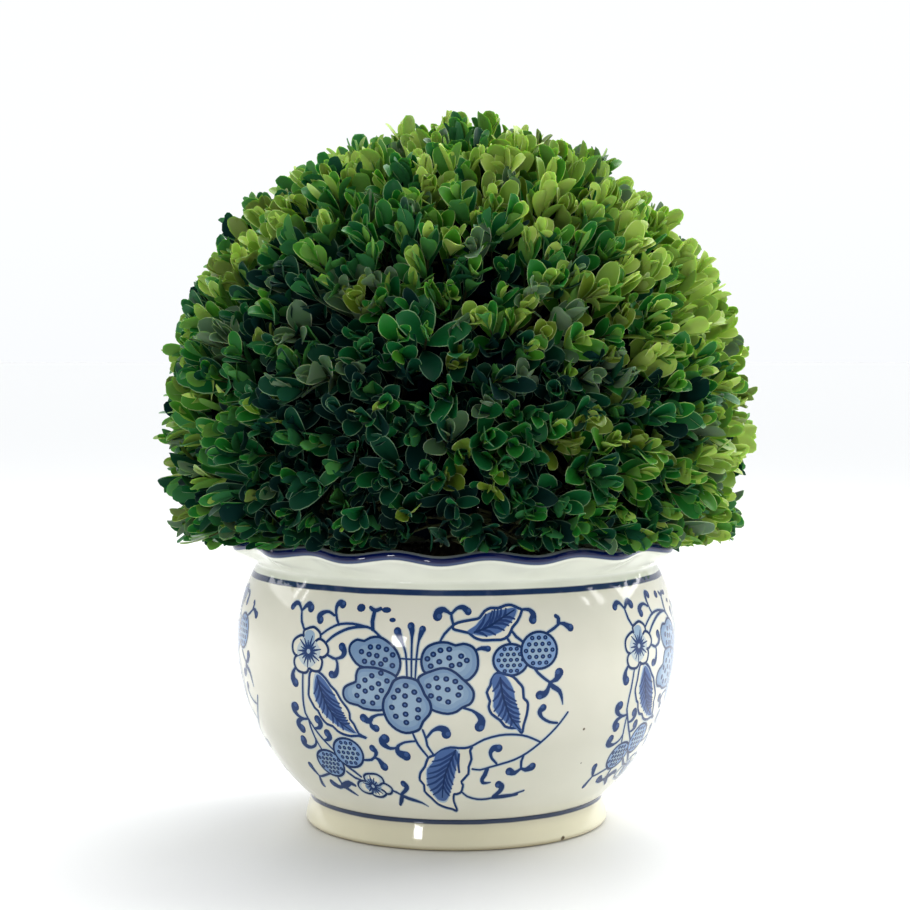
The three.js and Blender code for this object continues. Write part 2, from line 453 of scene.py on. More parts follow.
@dataclass
class GlazedPot:
    """The footed pot: a round body of two arcs, a flared collar and a thick lip that waves in lobes."""

    belly_radius: float = 108.0
    belly_height: float = 90.5
    lower_arc: float = 100.0
    shoulder_arc: float = 74.0
    wall: float = 6.0
    foot_radius: float = 74.6
    foot_round: float = 2.4
    foot_bend: Place = (73.54, 8.1)
    foot_ring: float = 8.0
    foot_recess: float = 4.0
    crease_height: float = 13.8
    crease_depth: float = 0.3
    floor_top: float = 11.0
    neck_height: float = 127.7
    lip_underside: float = 136.0
    lip_top: float = 141.6
    lip_radius: float = 110.5
    lip_thickness: float = 6.0
    flare_bend: Place = (5.0, 4.5)
    inside_bend: Place = (4.0, 6.0)
    lobes: int = 16
    lobe_reach: float = 1.5
    lobe_drop: float = 1.1
    lobe_phase: float = math.radians(3.7)
    segments: int = 320
    upper_band: Place = (121.8, 124.4)
    lower_band: Place = (12.2, 14.6)
    foot_paint: Place = (2.2, 9.0)
    # Heights over which the lower belly's painted shade gives way to the body's colour.
    shade_fade: Place = (52.0, 84.0)
    lip_low_band: Place = (1.2, 3.2)
    lip_high_start: float = 2.4
    lip_bare_edge: float = 0.9
    finish: GlazeFinish = field(default_factory=GlazeFinish)

    def wall_radius(self, height: float, inset: float = 0.0) -> float:
        """Gives the body's radius at a height, moved in from the outer face by an inset."""
        arc = self.lower_arc if height < self.belly_height else self.shoulder_arc
        rise = height - self.belly_height
        return self.belly_radius - arc + math.sqrt((arc - inset) ** 2 - rise**2)

    def on_wall(self, across: float, height: float, lift: float) -> Vector:
        """Finds a place on the body's outer face.

        Args:
            across: The distance round the belly from the pot's front, to the right.
            height: The height above the surface that the pot stands on.
            lift: The distance off the glaze.

        Returns:
            The point, in millimetres.
        """
        arc = self.lower_arc if height < self.belly_height else self.shoulder_arc
        radius = self.wall_radius(height)
        rise = (height - self.belly_height) / arc
        out = radius + lift * math.sqrt(1 - rise**2)
        angle = across / self.belly_radius
        return Vector((out * math.sin(angle), -out * math.cos(angle), height + lift * rise))

    def arc(self, low: float, high: float, inset: float, steps: int) -> list[Place]:
        """Steps along the body's wall from one height to another."""
        heights = [low + (high - low) * step / steps for step in range(steps + 1)]
        return [(self.wall_radius(height, inset), height) for height in heights]

    def outside(self) -> list[Place]:
        """Gives the outer face from under the foot up to the neck."""
        ring = self.foot_radius - self.foot_ring
        centre = self.foot_radius - self.foot_round
        under = [(0.0, self.foot_recess), (ring - self.foot_recess, self.foot_recess), (ring, 0.0)]
        turns = [math.radians(angle) for angle in range(-90, 1, 15)]
        edge = [
            (centre + self.foot_round * math.cos(turn), self.foot_round * (1 + math.sin(turn)))
            for turn in turns
        ]
        crease = (self.wall_radius(self.crease_height) - self.crease_depth, self.crease_height)
        side = bezier([edge[-1], self.foot_bend, crease], 10)
        body = self.arc(self.crease_height + self.crease_depth, self.belly_height, 0.0, 54)
        shoulder = self.arc(self.belly_height, self.neck_height, 0.0, 30)
        return under + edge + side[1:] + body + shoulder[1:]

    def section(self) -> list[Place]:
        """Gives the whole section, from under the foot over the lip to the floor inside."""
        outside = self.outside()
        neck = outside[-1]
        lip_start = (self.lip_radius - 1.0, self.lip_underside)
        flare = bezier([neck, (neck[0] + self.flare_bend[0], neck[1] + self.flare_bend[1]), lip_start], 12)
        lip = bezier(
            [
                lip_start,
                (self.lip_radius + 1.0, self.lip_underside + 2.0),
                (self.lip_radius + 0.5, self.lip_top),
                (self.lip_radius - 2.5, self.lip_top),
            ],
            16,
        )
        inner_neck = (self.wall_radius(self.neck_height, self.wall), self.neck_height)
        bend = (inner_neck[0] + self.inside_bend[0], inner_neck[1] + self.inside_bend[1])
        inside = bezier([(self.lip_radius - self.lip_thickness, self.lip_top - 0.8), bend, inner_neck], 12)
        upper = self.arc(self.neck_height, self.belly_height, self.wall, 10)
        lower = self.arc(self.belly_height, self.floor_top + self.wall, self.wall, 16)
        floor = [(lower[-1][0] - self.wall, self.floor_top), (0.0, self.floor_top)]
        return outside + flare[1:] + lip[1:] + inside + upper[1:] + lower[1:] + floor

    def paint(self, section: Sequence[Place], along: np.ndarray) -> tuple[list[Stop], list[Band]]:
        """Places the glaze's colours along the section, with painted shade and light among them.

        Args:
            section: The section's radius and height.
            along: The distance of each of its points from the middle of the underside.

        Returns:
            The broad colours, each with its distance, and the bands, each with its two edges.
        """
        finish = self.finish
        lip_end = max(range(len(section)), key=lambda index: section[index][1])
        heights = [point[1] for point in section[2:lip_end]]

        def at(height: float) -> float:
            """Finds the distance of a height on the outer face."""
            return float(np.interp(height, heights, along[2:lip_end]))

        lip, rim = self.lip_underside, self.lip_top
        # Painted shadow at the foot's edge, painted light just above the lower band, painted shade on the
        # lower belly and painted light on the collar.
        colours = [
            (at(0.4), finish.foot_edge),
            (at(self.foot_paint[0]), finish.foot),
            (at(self.foot_paint[1]), finish.foot),
            (at(self.crease_height), finish.thin),
            (at(self.lower_band[1]), finish.lightened_skirt),
            (at(self.shade_fade[0]), finish.shaded_low_body),
            (at(self.shade_fade[1]), finish.body),
            (at(self.upper_band[0]), finish.body),
            (at(self.upper_band[1]), finish.collar),
            (at(lip + 2.0), finish.collar),
            (at(rim - 0.5), finish.lip_edge),
            (float(along[lip_end]), finish.lip_top),
        ]
        bands = [
            (at(self.lower_band[0]), at(self.lower_band[1]), finish.lower_band),
            (at(self.upper_band[0]), at(self.upper_band[1]), finish.upper_band),
            (at(lip + self.lip_low_band[0]), at(lip + self.lip_low_band[1]), finish.lip_low),
            (at(lip + self.lip_high_start), at(rim - self.lip_bare_edge), finish.lip_high),
        ]
        return colours, bands

    def build(self) -> None:
        """Makes the pot's shell, standing on its foot at the origin, and dresses it in glaze."""
        section = self.section()
        steps = [0.0] + [math.dist(a, b) for a, b in zip(section, section[1:])]
        along = np.cumsum(steps)
        points, faces = revolve(section, self.segments)
        angles = np.arctan2(points[:, 0], -points[:, 1])
        share = np.clip((points[:, 2] - self.neck_height) / (self.lip_underside - self.neck_height), 0, 1)
        share = share * share * (3 - 2 * share)
        wave = share * np.cos(self.lobes * (angles + self.lobe_phase))
        points[:, 0] += self.lobe_reach * wave * np.sin(angles)
        points[:, 1] -= self.lobe_reach * wave * np.cos(angles)
        points[:, 2] -= self.lobe_drop * wave
        pot = mesh_object("glazed_pot", points, faces)
        rings = np.repeat(along[1:-1], self.segments)
        values = np.concatenate([[along[0]], rings, [along[-1]]])
        set_attribute(pot.data, "along", "FLOAT", "POINT", values)
        colours, bands = self.paint(section, along)
        pot.data.materials.append(self.finish.make(colours, bands, float(along[-1])))
        wear(pot, Slot.GLAZE, "pot")


class Tone(IntEnum):
    """The strengths of blue in the painting, from bare glaze to the darkest ink."""

    BARE = -1
    HALO = 0
    PALE = 1
    LIGHT = 2
    WASH = 3
    EDGE = 4
    BERRY = 5
    CORE = 6
    POOL = 7
    DEEP = 8
    LINE = 9
    INK = 10


BLUES = {
    Tone.HALO: (184, 196, 200),
    Tone.PALE: (168, 187, 204),
    Tone.LIGHT: (146, 170, 192),
    Tone.WASH: (130, 156, 182),
    Tone.EDGE: (116, 144, 176),
    Tone.BERRY: (124, 154, 194),
    Tone.CORE: (70, 100, 152),
    Tone.POOL: (52, 82, 134),
    Tone.DEEP: (28, 56, 108),
    Tone.LINE: (22, 54, 104),
    Tone.INK: (14, 44, 90),
}
# A flat drawing, as its points, its triangles and the tone of each.
Plan = tuple[list[Vector], list[list[int]], list[Tone]]


def smooth_route(
    points: Sequence[Place], closed: bool, turn: float = 14.0, step: float = 4.0
) -> list[Vector]:
    """Runs a smooth curve through points.

    Args:
        points: The points on the route.
        closed: Whether the last point leads back to the first.
        turn: The most that the curve may turn between its own points, in degrees.
        step: The most that may lie between them.

    Returns:
        The points along the curve.
    """
    marks = [Vector(point) for point in points]
    if not closed:
        marks = [2 * marks[0] - marks[1], *marks, 2 * marks[-1] - marks[-2]]
    else:
        marks = [marks[-1], *marks, marks[0], marks[1]]
    route = []
    for before, start, end, after in zip(marks, marks[1:], marks[2:], marks[3:]):
        bow = math.degrees(abs((end - before).angle_signed(after - start, 0.0)))
        steps = math.ceil(max(bow / turn, (end - start).length / step))
        for count in range(steps):
            t = count / steps
            bend = 2 * before - 5 * start + 4 * end - after
            twist = after - before + 3 * (start - end)
            route.append(0.5 * (2 * start + (end - before) * t + bend * t**2 + twist * t**3))
    if not closed:
        route.append(marks[-2])
    return route


def is_inside(outline: Sequence[Vector], point: Vector) -> bool:
    """Says whether a point lies inside a closed outline."""
    inside = False
    for a, b in zip(outline, [*outline[1:], outline[0]]):
        if (a.y > point.y) != (b.y > point.y):
            if point.x < a.x + (point.y - a.y) / (b.y - a.y) * (b.x - a.x):
                inside = not inside
    return inside


def sides_of(faces: Sequence[list[int]], tones: Sequence[Tone]) -> dict[tuple[int, int], Tone]:
    """Gives each directed side of the faces with the tone of its face."""
    return {
        side: tone for face, tone in zip(faces, tones) for side in zip(face, face[1:] + face[:1])
    }


@dataclass
class Brush:
    """Collects painted shapes on the flat plan of a panel. A later shape covers an earlier one."""

    bleed: float = 0.45
    points: list[Vector] = field(default_factory=list)
    bled: list[list[int]] = field(default_factory=list)
    shapes: list[list[int]] = field(default_factory=list)
    tones: list[Tone] = field(default_factory=list)

    def corners(self, outline: Sequence[Vector]) -> list[int]:
        """Stores the corners of a polygon, turned anticlockwise, and gives their numbers."""
        pairs = zip(outline, [*outline[1:], outline[0]])
        area = sum(a.x * b.y - b.x * a.y for a, b in pairs)
        start = len(self.points)
        self.points.extend(outline if area > 0 else reversed(outline))
        return list(range(start, start + len(outline)))

    def fill(self, outline: Sequence[Vector], tone: Tone) -> None:
        """Paints the inside of a polygon."""
        self.shapes.append(self.corners(outline))
        self.tones.append(tone)

    def patch(self, outline: Sequence[Place], tone: Tone, share: float = 1.0) -> None:
        """Paints a patch with a smooth outline, drawn in towards its middle by a share."""
        middle = sum((Vector(point) for point in outline), Vector((0.0, 0.0))) / len(outline)
        drawn_in = [tuple(middle + share * (Vector(point) - middle)) for point in outline]
        self.fill(smooth_route(drawn_in, True), tone)

    def dot(
        self, centre: Place, radius: float, tone: Tone = Tone.INK, height: float = 1.0, sides: int = 9
    ) -> None:
        """Paints a round or oval dot.

        Args:
            centre: Its middle.
            radius: Its half width.
            tone: Its strength of blue.
            height: Its height as a share of its width.
            sides: The number of its corners.
        """
        angles = [2 * math.pi * side / sides for side in range(sides)]
        spots = [(radius * math.cos(angle), radius * height * math.sin(angle)) for angle in angles]
        self.fill([Vector(centre) + Vector(spot) for spot in spots], tone)

    def line(
        self,
        *route: Place,
        width: float = 1.4,
        bulb: float = 0.0,
        taper: float = 0.0,
        closed: bool = False,
        tone: Tone = Tone.LINE,
        bleeds: bool = True,
    ) -> None:
        """Draws one brush stroke, whose colour bleeds a little into the glaze on both sides.

        Args:
            *route: The points that it passes through.
            width: Its width.
            bulb: The radius of the round drop that it ends in.
            taper: How far it thins towards its end, from 0 to 1.
            closed: Whether it runs back to its start.
            tone: Its strength of blue.
            bleeds: Whether its colour bleeds.
        """
        middle = smooth_route(route, closed)
        if closed:
            middle = [*middle, middle[0]]
        last = len(middle) - 1
        whole = sum((b - a).length for a, b in zip(middle, middle[1:]))
        ribs = []
        run = 0.0
        for index, point in enumerate(middle):
            before, after = middle[max(0, index - 1)], middle[min(last, index + 1)]
            run += (point - before).length
            if closed and index in (0, last):
                before, after = middle[-2], middle[1]
            share = run / whole
            half = 0.5 * width * (1 - taper * share**2)
            if not closed:
                half *= 0.84 + 0.16 * math.sin(math.pi * share)
            if bulb > half:
                half += (0.9 * bulb - half) * smooth_step(1 - min(0.95, 4.0 * bulb / whole), 1.0, share)
            ribs.append((point, (after - before).orthogonal().normalized(), half))
        for (start, side, half), (end, next_side, next_half) in zip(ribs, ribs[1:]):
            for spread in (0.0, self.bleed)[: 1 + bleeds]:
                band = [
                    start + side * (half + spread),
                    end + next_side * (next_half + spread),
                    end - next_side * (next_half + spread),
                    start - side * (half + spread),
                ]
                hull = [band[corner] for corner in geometry.convex_hull_2d(band)]
                if spread:
                    self.bled.append(self.corners(hull))
                else:
                    self.fill(hull, tone)
        if not closed:
            self.dot(middle[0], 0.42 * width, tone, sides=8)
            self.dot(middle[-1], bulb or 0.5 * width * (1 - taper), tone, sides=12 if bulb else 8)
            if bulb:
                pool = middle[-1] + 0.35 * bulb * (middle[-1] - middle[-2]).orthogonal().normalized()
                self.dot(pool, 0.5 * bulb, Tone.POOL, sides=7)

    def petal(
        self,
        *outline: Place,
        tones: Sequence[Tone] = (Tone.EDGE, Tone.WASH, Tone.LIGHT),
        width: float = 1.2,
    ) -> None:
        """Paints a petal, washed paler towards its middle, and draws its outline.

        Args:
            *outline: The petal's edge.
            tones: The strengths of the wash from the edge to the middle.
            width: The width of the outline.
        """
        for ring, tone in enumerate(tones):
            self.patch(outline, tone, 1 - 0.2 * ring)
        self.line(*outline, width=width, closed=True, tone=Tone.INK)

    def dots(self, radius: float, *centres: Place) -> None:
        """Paints several ring-like dots of one size."""
        for centre in centres:
            self.dot(centre, radius, height=0.92)
            self.dot(centre, 0.36 * radius, Tone.CORE, sides=5)

    def leaf(
        self, outline: Sequence[Place], core: Sequence[Place], rib: Sequence[Place], veins: int
    ) -> None:
        """Paints a leaf: a pale margin inside its outline, a dark core, and a rib with feathered veins.

        Args:
            outline: The leaf's edge.
            core: The edge of the dark middle.
            rib: The points of the rib, from the stalk to the tip.
            veins: The number of pairs of veins.
        """
        self.patch(outline, Tone.BARE)
        self.patch(core, Tone.PALE, 1.07)
        self.line(*outline, width=1.3, closed=True, tone=Tone.LINE)
        self.patch(core, Tone.CORE)
        edge = smooth_route(core, True)
        middle = smooth_route(rib, False, step=0.8)
        for number in range(veins):
            index = round((0.04 + 0.82 * number / veins) * (len(middle) - 1))
            root = middle[index]
            ahead = (middle[min(index + 1, len(middle) - 1)] - middle[max(index - 1, 0)]).normalized()
            for side in (-1, 1):
                lean = (ahead + 0.85 * side * ahead.orthogonal()).normalized()
                reach = 1.0
                while reach < 12.0 and is_inside(edge, root + lean * reach):
                    reach += 0.5
                tip = root + lean * (reach + 0.2)
                bow = root + lean * reach * 0.5 + ahead * 0.12 * reach
                self.line(root, bow, tip, width=1.35, taper=0.35, tone=Tone.DEEP, bleeds=False)
        self.line(*rib, width=1.0, taper=0.3, tone=Tone.INK, bleeds=False)

    def berry(self, centre: Place, radii: Place, pitch: float, dot: float) -> None:
        """Paints a washed berry with an outline and rows of dots.

        Args:
            centre: Its middle.
            radii: Its half width and half height.
            pitch: The distance between dots.
            dot: The radius of a dot.
        """
        angles = [math.radians(angle) for angle in range(0, 360, 24)]
        edge = [(centre[0] + radii[0] * math.cos(a), centre[1] + radii[1] * math.sin(a)) for a in angles]
        self.patch(edge, Tone.BERRY)
        self.patch(edge, Tone.LIGHT, 0.6)
        self.line(*edge, width=1.2, closed=True, tone=Tone.INK)
        rows = math.ceil(radii[1] / pitch) + 1
        for row in range(-rows, rows + 1):
            for column in range(-rows - 2, rows + 3):
                across = (column + 0.5 * (row % 2)) * pitch
                up = row * pitch * 0.87
                if math.hypot(across / (radii[0] - 1.4), up / (radii[1] - 1.4)) < 1:
                    self.dots(dot, (centre[0] + across, centre[1] + up))

    def rays(self, centre: Place, count: int, inner: float, lengths: Sequence[float]) -> None:
        """Draws the dark rays in the middle of a blossom.

        Args:
            centre: The blossom's middle.
            count: The number of rays.
            inner: How far from the middle they start.
            lengths: Their lengths, used in turn.
        """
        for number in range(count):
            angle = 2 * math.pi * number / count + 0.2
            way = Vector((math.cos(angle), math.sin(angle)))
            start = Vector(centre) + way * inner
            end = start + way * lengths[number % len(lengths)]
            self.line(start, end, width=1.2, taper=0.5, tone=Tone.LINE, bleeds=False)


@dataclass
class PaintedPanels:
    """The blue flowers on the pot's side: one painted panel, four times round the body.

    A place on the panel is the distance to the right round the belly and the height.
    """

    pot: GlazedPot
    panels: int = 4
    lift: float = 0.06
    sink: float = 0.25
    grid: float = 3.6
    left_shift: float = 0.023

    def draw_upper_left(self, brush: Brush) -> None:
        """Draws the forked sprig, the arching double stem and its curls, and the small marks."""
        brush.line((-76.1, 104), (-77, 105), (-78.8, 107.7), (-80, 112.3))
        brush.line((-80, 112.3), (-82.5, 115), (-85, 115.3), (-86.8, 113.6), bulb=1.6)
        brush.line((-80, 112.3), (-78, 114.5), (-76, 115.3), (-74.3, 113.8), bulb=2.0)
        brush.line((-66.1, 102.5), (-62.9, 104.8), (-59.3, 106.8), (-55.6, 108.1), (-49.3, 108.6),
            (-42.9, 107.7), (-39.3, 106.8), (-35.6, 104.1), (-32, 101.4), (-28.4, 99.5), width=1.2)
        brush.line((-62.5, 99.5), (-59.3, 102.3), (-55.6, 104.5), (-51.1, 106.4), (-46.5, 107.3),
            (-42, 107.6))
        brush.line((-56.5, 107.7), (-57.9, 110), (-59, 112.7), (-59.3, 115.5), (-58, 117.3),
            (-56, 116.6), bulb=1.8)
        brush.line((-59.7, 111.6), (-62.9, 113), (-66.1, 112.5), (-68.2, 110.9), (-67.4, 109.1),
            bulb=1.9)
        brush.dot((-46, 115.7), 2.3, Tone.LINE, 0.8)
        brush.line((-41.3, 116.1), (-38.8, 114.8), (-36.1, 115.7), width=1.9)
        brush.line((-38.8, 115.0), (-39.4, 110), (-38.9, 106.8), width=2.1)
        brush.dot((-33.1, 115.3), 2.4, Tone.LINE, 0.55)
        brush.dot((-29.7, 111.1), 1.6, Tone.LINE, 0.65)

    def draw_left_vine(self, brush: Brush) -> None:
        """Draws the stems down the left side, with their curls."""
        brush.line((-76.3, 84.1), (-77.5, 74.5), (-77.9, 71.5), (-77.9, 65.5), (-76.5, 62.4),
            (-76.3, 58.7), (-75.2, 53.3), (-73.4, 48.7), width=1.2)
        brush.line((-76.5, 62.8), (-73.8, 58.3), (-70.6, 54.2), (-67.5, 51), (-65.2, 48.7), width=1.2)
        brush.line((-76.5, 62.8), (-79.3, 62.4), (-82.9, 63.3), (-85.2, 65.5), (-85.2, 67.6),
            (-83.8, 67.9), bulb=2.2)
        brush.line((-79.7, 62.4), (-83.2, 61.3), (-84.6, 59), (-82.8, 57.3), bulb=2.3)
        brush.line((-75, 53.3), (-76.1, 50.5), (-79.3, 48.7), (-82.9, 48.5), (-85.2, 50), (-84.3, 51.7),
            bulb=2.2)
        brush.line((-81.1, 86.4), (-82.7, 84.1), (-83.1, 81.2), (-81.8, 79.3), bulb=2.2)
        brush.line((-73.4, 58.5), (-70.6, 59.2), (-69.3, 61.4), (-70.6, 63.1), bulb=2.1)
        brush.line((-69, 53.3), (-67.2, 53.7), (-65.4, 55.3), (-66.3, 56.9), bulb=2.1)
        brush.line((-62, 94.1), (-58.4, 92.7), (-57, 92.5))
        brush.line((-57, 92.5), (-53.8, 93.6), (-52.5, 95.9), (-53.8, 98.2), bulb=1.9)
        brush.line((-57, 92.5), (-56.1, 90.5), (-56.3, 87.3), (-57.5, 85.3), (-59.3, 85.2), bulb=1.8)

    def draw_large_blossom(self, brush: Brush) -> None:
        """Draws the open blossom at the upper left."""
        petals = (
            ((-76.1, 101), (-76.4, 103.6), (-74.7, 104.6), (-71.1, 105.7), (-68.4, 104.8), (-66.3, 103),
             (-66.4, 100.2), (-70, 97), (-73, 96)),
            ((-76.3, 101.3), (-79.7, 100.7), (-82.5, 98.6), (-83.1, 95.9), (-82.2, 93.2), (-79.7, 91.8),
             (-76, 93), (-74.5, 96.5)),
            ((-80.7, 91.6), (-81.8, 88.6), (-80, 85.5), (-76.5, 84.5), (-73.8, 85), (-72.5, 87.3),
             (-73, 91.5), (-76.5, 93)),
            ((-72.5, 87.5), (-69.7, 85.9), (-66.1, 86.4), (-64.7, 89.1), (-64.7, 91.4), (-66.5, 92.9),
             (-70, 93), (-72.5, 91)),
            ((-66.5, 92.7), (-63.8, 92.7), (-61.5, 94.5), (-61.3, 96.8), (-62.9, 99.1), (-65.2, 100.5),
             (-67.5, 100.4), (-70.3, 97.5), (-70, 94)),
        )
        for petal in petals:
            brush.petal(*petal, tones=(Tone.HALO, Tone.BARE), width=1.25)
        brush.patch([(-72.7, 102.5), (-68.6, 99.4), (-65.6, 94.9), (-68.4, 89.6), (-73, 87.2),
            (-77.6, 89.6), (-80.2, 94.7), (-77.2, 99.6)], Tone.HALO)
        brush.patch([(-75.2, 103.2), (-72, 104.2), (-69.6, 102.6), (-70, 99), (-72.7, 97),
            (-75.4, 99.4)], Tone.LIGHT)
        brush.patch([(-72.7, 99), (-69.6, 97.4), (-68.8, 94.3), (-70.2, 91.6), (-73, 90.6),
            (-75.6, 91.8), (-76.8, 94.5), (-75.4, 97.4)], Tone.EDGE)
        brush.rays((-72.7, 94.6), 17, 0.9, (6.4, 4.0, 5.4))
        brush.dot((-72.7, 94.6), 1.1, Tone.PALE)

    def draw_middle_bloom(self, brush: Brush) -> None:
        """Draws the large flower with five dotted petals and its stamens."""
        brush.petal((-42.7, 101.4), (-39.7, 103), (-35.6, 103.5), (-32, 102), (-28.4, 99.3),
            (-26.1, 95.9), (-25.2, 92.3), (-26, 88.5), (-28.5, 86.2), (-36, 88.5), (-44.7, 90.2),
            (-48.8, 94.2), (-50, 97.3), (-49, 100), (-46.1, 101.8),
            tones=(Tone.EDGE, Tone.EDGE, Tone.WASH))
        brush.dots(1.45, (-39.5, 98.9), (-35.6, 99.1), (-31.8, 98.2), (-28.8, 95.9), (-43.8, 96.6),
            (-40, 95.6), (-36.3, 95.2), (-32.2, 93.6), (-42.2, 92.4), (-38.1, 91.9), (-34.3, 91.6),
            (-28.9, 91.1))
        brush.petal((-46.8, 82.9), (-46.5, 85.5), (-45.6, 88.2), (-44, 89.4), (-40.6, 89.8),
            (-37.5, 89.8), (-32, 88.6), (-27, 85.7), (-28.5, 80), (-30.6, 75), (-32, 71.5),
            (-36.5, 70.3), (-40.2, 70.3), (-43.8, 70.8), (-46.5, 72.1), (-50.6, 72.8), (-53, 74.6),
            (-53.6, 77.3), (-52.5, 80), (-49.7, 81.6))
        brush.dots(1.45, (-34.3, 87.5), (-38.7, 86.1), (-42.1, 83.9), (-31.5, 84.1), (-35.6, 82.6),
            (-45.4, 80.9), (-38.9, 80.5), (-34.3, 79.6), (-42.2, 78.9), (-46.5, 76.6), (-36.5, 76.4),
            (-38.9, 73.6), (-43.5, 74))
        brush.petal((-15.6, 92), (-15.6, 95), (-14.4, 98.3), (-12, 100.5), (-8, 101.8), (-4, 101.8),
            (-0.5, 100.6), (3, 101.3), (6.8, 100.1), (8.8, 97.5), (9.5, 94), (9.1, 90), (7, 86.8),
            (3.5, 85), (-4, 88), (-10.5, 88.4), (-14.2, 88.6))
        brush.dots(1.45, (-13, 94.6), (-10.4, 96.6), (-7.2, 98.4), (-3.3, 98.9), (-11.5, 91.4),
            (-7.7, 93.4), (-3.3, 95.1), (-2.2, 91.7), (2, 95.9), (1.3, 92.2), (4.5, 94))
        brush.petal((-17.2, 85), (-15, 87.6), (-11.5, 89), (-7.5, 90.4), (-4, 90.3), (-0.5, 88.5),
            (2.5, 85.8), (5.5, 83), (7.5, 80), (7.4, 76.6), (5.7, 74.1), (2.5, 72.7), (0, 70.8),
            (-4, 69.8), (-8.5, 70.6), (-12, 72.5), (-14.5, 78.5))
        brush.dots(1.45, (-9, 86), (-4.6, 85.7), (-0.6, 84.6), (-12.5, 82.5), (-8.3, 81.8), (-4, 80.9),
            (1.6, 81.9), (-11.5, 78), (-7.8, 76.8), (0.8, 78.5), (-3.8, 75.3))
        brush.petal((-22.3, 86), (-18, 85), (-15.8, 82), (-14.3, 78.5), (-12.2, 75.5), (-11.5, 72),
            (-12.7, 69), (-15.4, 66), (-17, 62.6), (-20, 61), (-24, 60.3), (-28.2, 61.7), (-31.5, 64.6),
            (-33.1, 67.6), (-34, 71.5), (-33.3, 75.7), (-31, 79.1), (-29.7, 81.8), (-28.3, 84.3),
            (-25.5, 85.8), width=1.3)
        brush.dots(1.5, (-22.9, 82.3), (-26.5, 80), (-23.3, 77.6), (-28.6, 76.8), (-29.7, 72.1),
            (-23.5, 73.5), (-28.1, 68), (-23.4, 69.2), (-23.3, 65.3), (-19, 79.5), (-17, 76),
            (-17.5, 71.5), (-17.8, 67.7))

    def draw_stamens(self, brush: Brush) -> None:
        """Draws the stamens behind the middle bloom's petals."""
        brush.line((-22.2, 85.5), (-22.5, 94), (-23.5, 99), (-27, 106.4), width=1.0, bulb=1.8)
        brush.line((-20.2, 85.5), (-20.2, 106.5), (-20.8, 108.8), width=1.0, bulb=1.7)
        brush.line((-18.5, 85.5), (-17.8, 96), (-17, 102.5), (-15.4, 107.5), width=1.0, bulb=1.6)
        brush.line((-25.5, 94.4), (-20, 94.2), (-15.8, 94.4), width=0.9)

    def draw_upper_right(self, brush: Brush) -> None:
        """Draws the stem and leaf at the top, the two berries and their sprigs."""
        brush.line((8.8, 98.5), (11, 99.3), (14, 99), bulb=1.4)
        brush.line((-7.5, 102), (-5.5, 105.5), (-2, 109), (-1, 110), width=1.2)
        brush.line((-1.5, 109.5), (-2.3, 112.5), (-2.5, 114.5))
        brush.line((-2.5, 114), (-5.8, 116), (-8.4, 115), (-8.8, 113.2), bulb=2.2)
        brush.line((-2.5, 114), (0, 116.5), (3, 117), (5.3, 115.2), bulb=1.7)
        brush.leaf(
            [(-1, 109.8), (3, 111), (8, 111.8), (10.5, 112.5), (13, 115.3), (16, 116.6), (19.5, 116.5),
             (23, 117.6), (26, 117.6), (29, 116.3), (30.6, 115), (28, 110.5), (25.5, 108), (24.5, 106),
             (23, 104), (20, 102.8), (16, 102.8), (11.5, 102.8), (8, 104), (5.5, 106), (2, 106.8),
             (-1.5, 107.8)],
            [(5, 106.6), (9, 109.5), (12.5, 113.2), (17, 115.2), (22, 115.8), (28, 116.3), (26.5, 112),
             (23, 108.8), (20, 106.3), (15, 104.7), (10, 105)],
            [(8, 106.3), (14, 108.3), (21, 112.3), (27, 115.5)],
            6,
        )
        brush.line((31, 115.6), (34, 115.4), (36, 113.5), (35.5, 110.9), bulb=1.9)
        brush.line((22.5, 104), (24.5, 100.8))
        brush.line((25.3, 106.3), (27, 104), (29.8, 101.8))
        brush.line((42, 105), (46, 107), (49, 109))
        brush.line((48, 108.4), (48.5, 111), (47.3, 112.1), width=2.0)
        brush.line((48.5, 108.8), (51, 108.5), (54.2, 106.6), bulb=1.8)
        brush.berry((24.3, 93.8), (8.0, 7.0), 2.8, 1.05)
        brush.berry((37.8, 97.5), (8.6, 8.2), 3.2, 1.15)

    def draw_right_side(self, brush: Brush) -> None:
        """Draws the branching figure and the hanging leaf on the right."""
        brush.line((35, 90), (37, 87.5), (40.5, 84.5), (43, 82.8))
        brush.line((42.5, 82.8), (46, 84), (47.5, 87), width=1.3, bulb=2.2)
        brush.line((43, 82.5), (42, 79.5), (40.5, 77.7), (38.2, 77.3), bulb=2.1)
        brush.line((43, 82), (45, 80.5), (48, 78.5), (49.5, 75), (50.3, 72), width=2.6, taper=0.85)
        brush.leaf(
            [(18, 88.2), (15.5, 85), (15, 82.5), (13.5, 79.5), (15, 75.5), (14.5, 73), (16, 69.5),
             (20, 66.5), (22.5, 63.5), (26, 62.5), (28.5, 62.5), (31, 60), (31.5, 64), (32.5, 68.5),
             (32.8, 73), (32, 75), (30.5, 76.5), (30, 81), (28, 83.5), (25.3, 86.3), (22, 87.4)],
            [(17.5, 87.6), (15.6, 84), (17, 79), (16.6, 73), (20, 68), (25, 64), (30.8, 60.8), (29, 65),
             (28.8, 70), (26.6, 75), (25.6, 80.5), (22, 86.4)],
            [(19.5, 86), (20.5, 79), (22.5, 73), (25.5, 66.5), (30, 61.5)],
            7,
        )

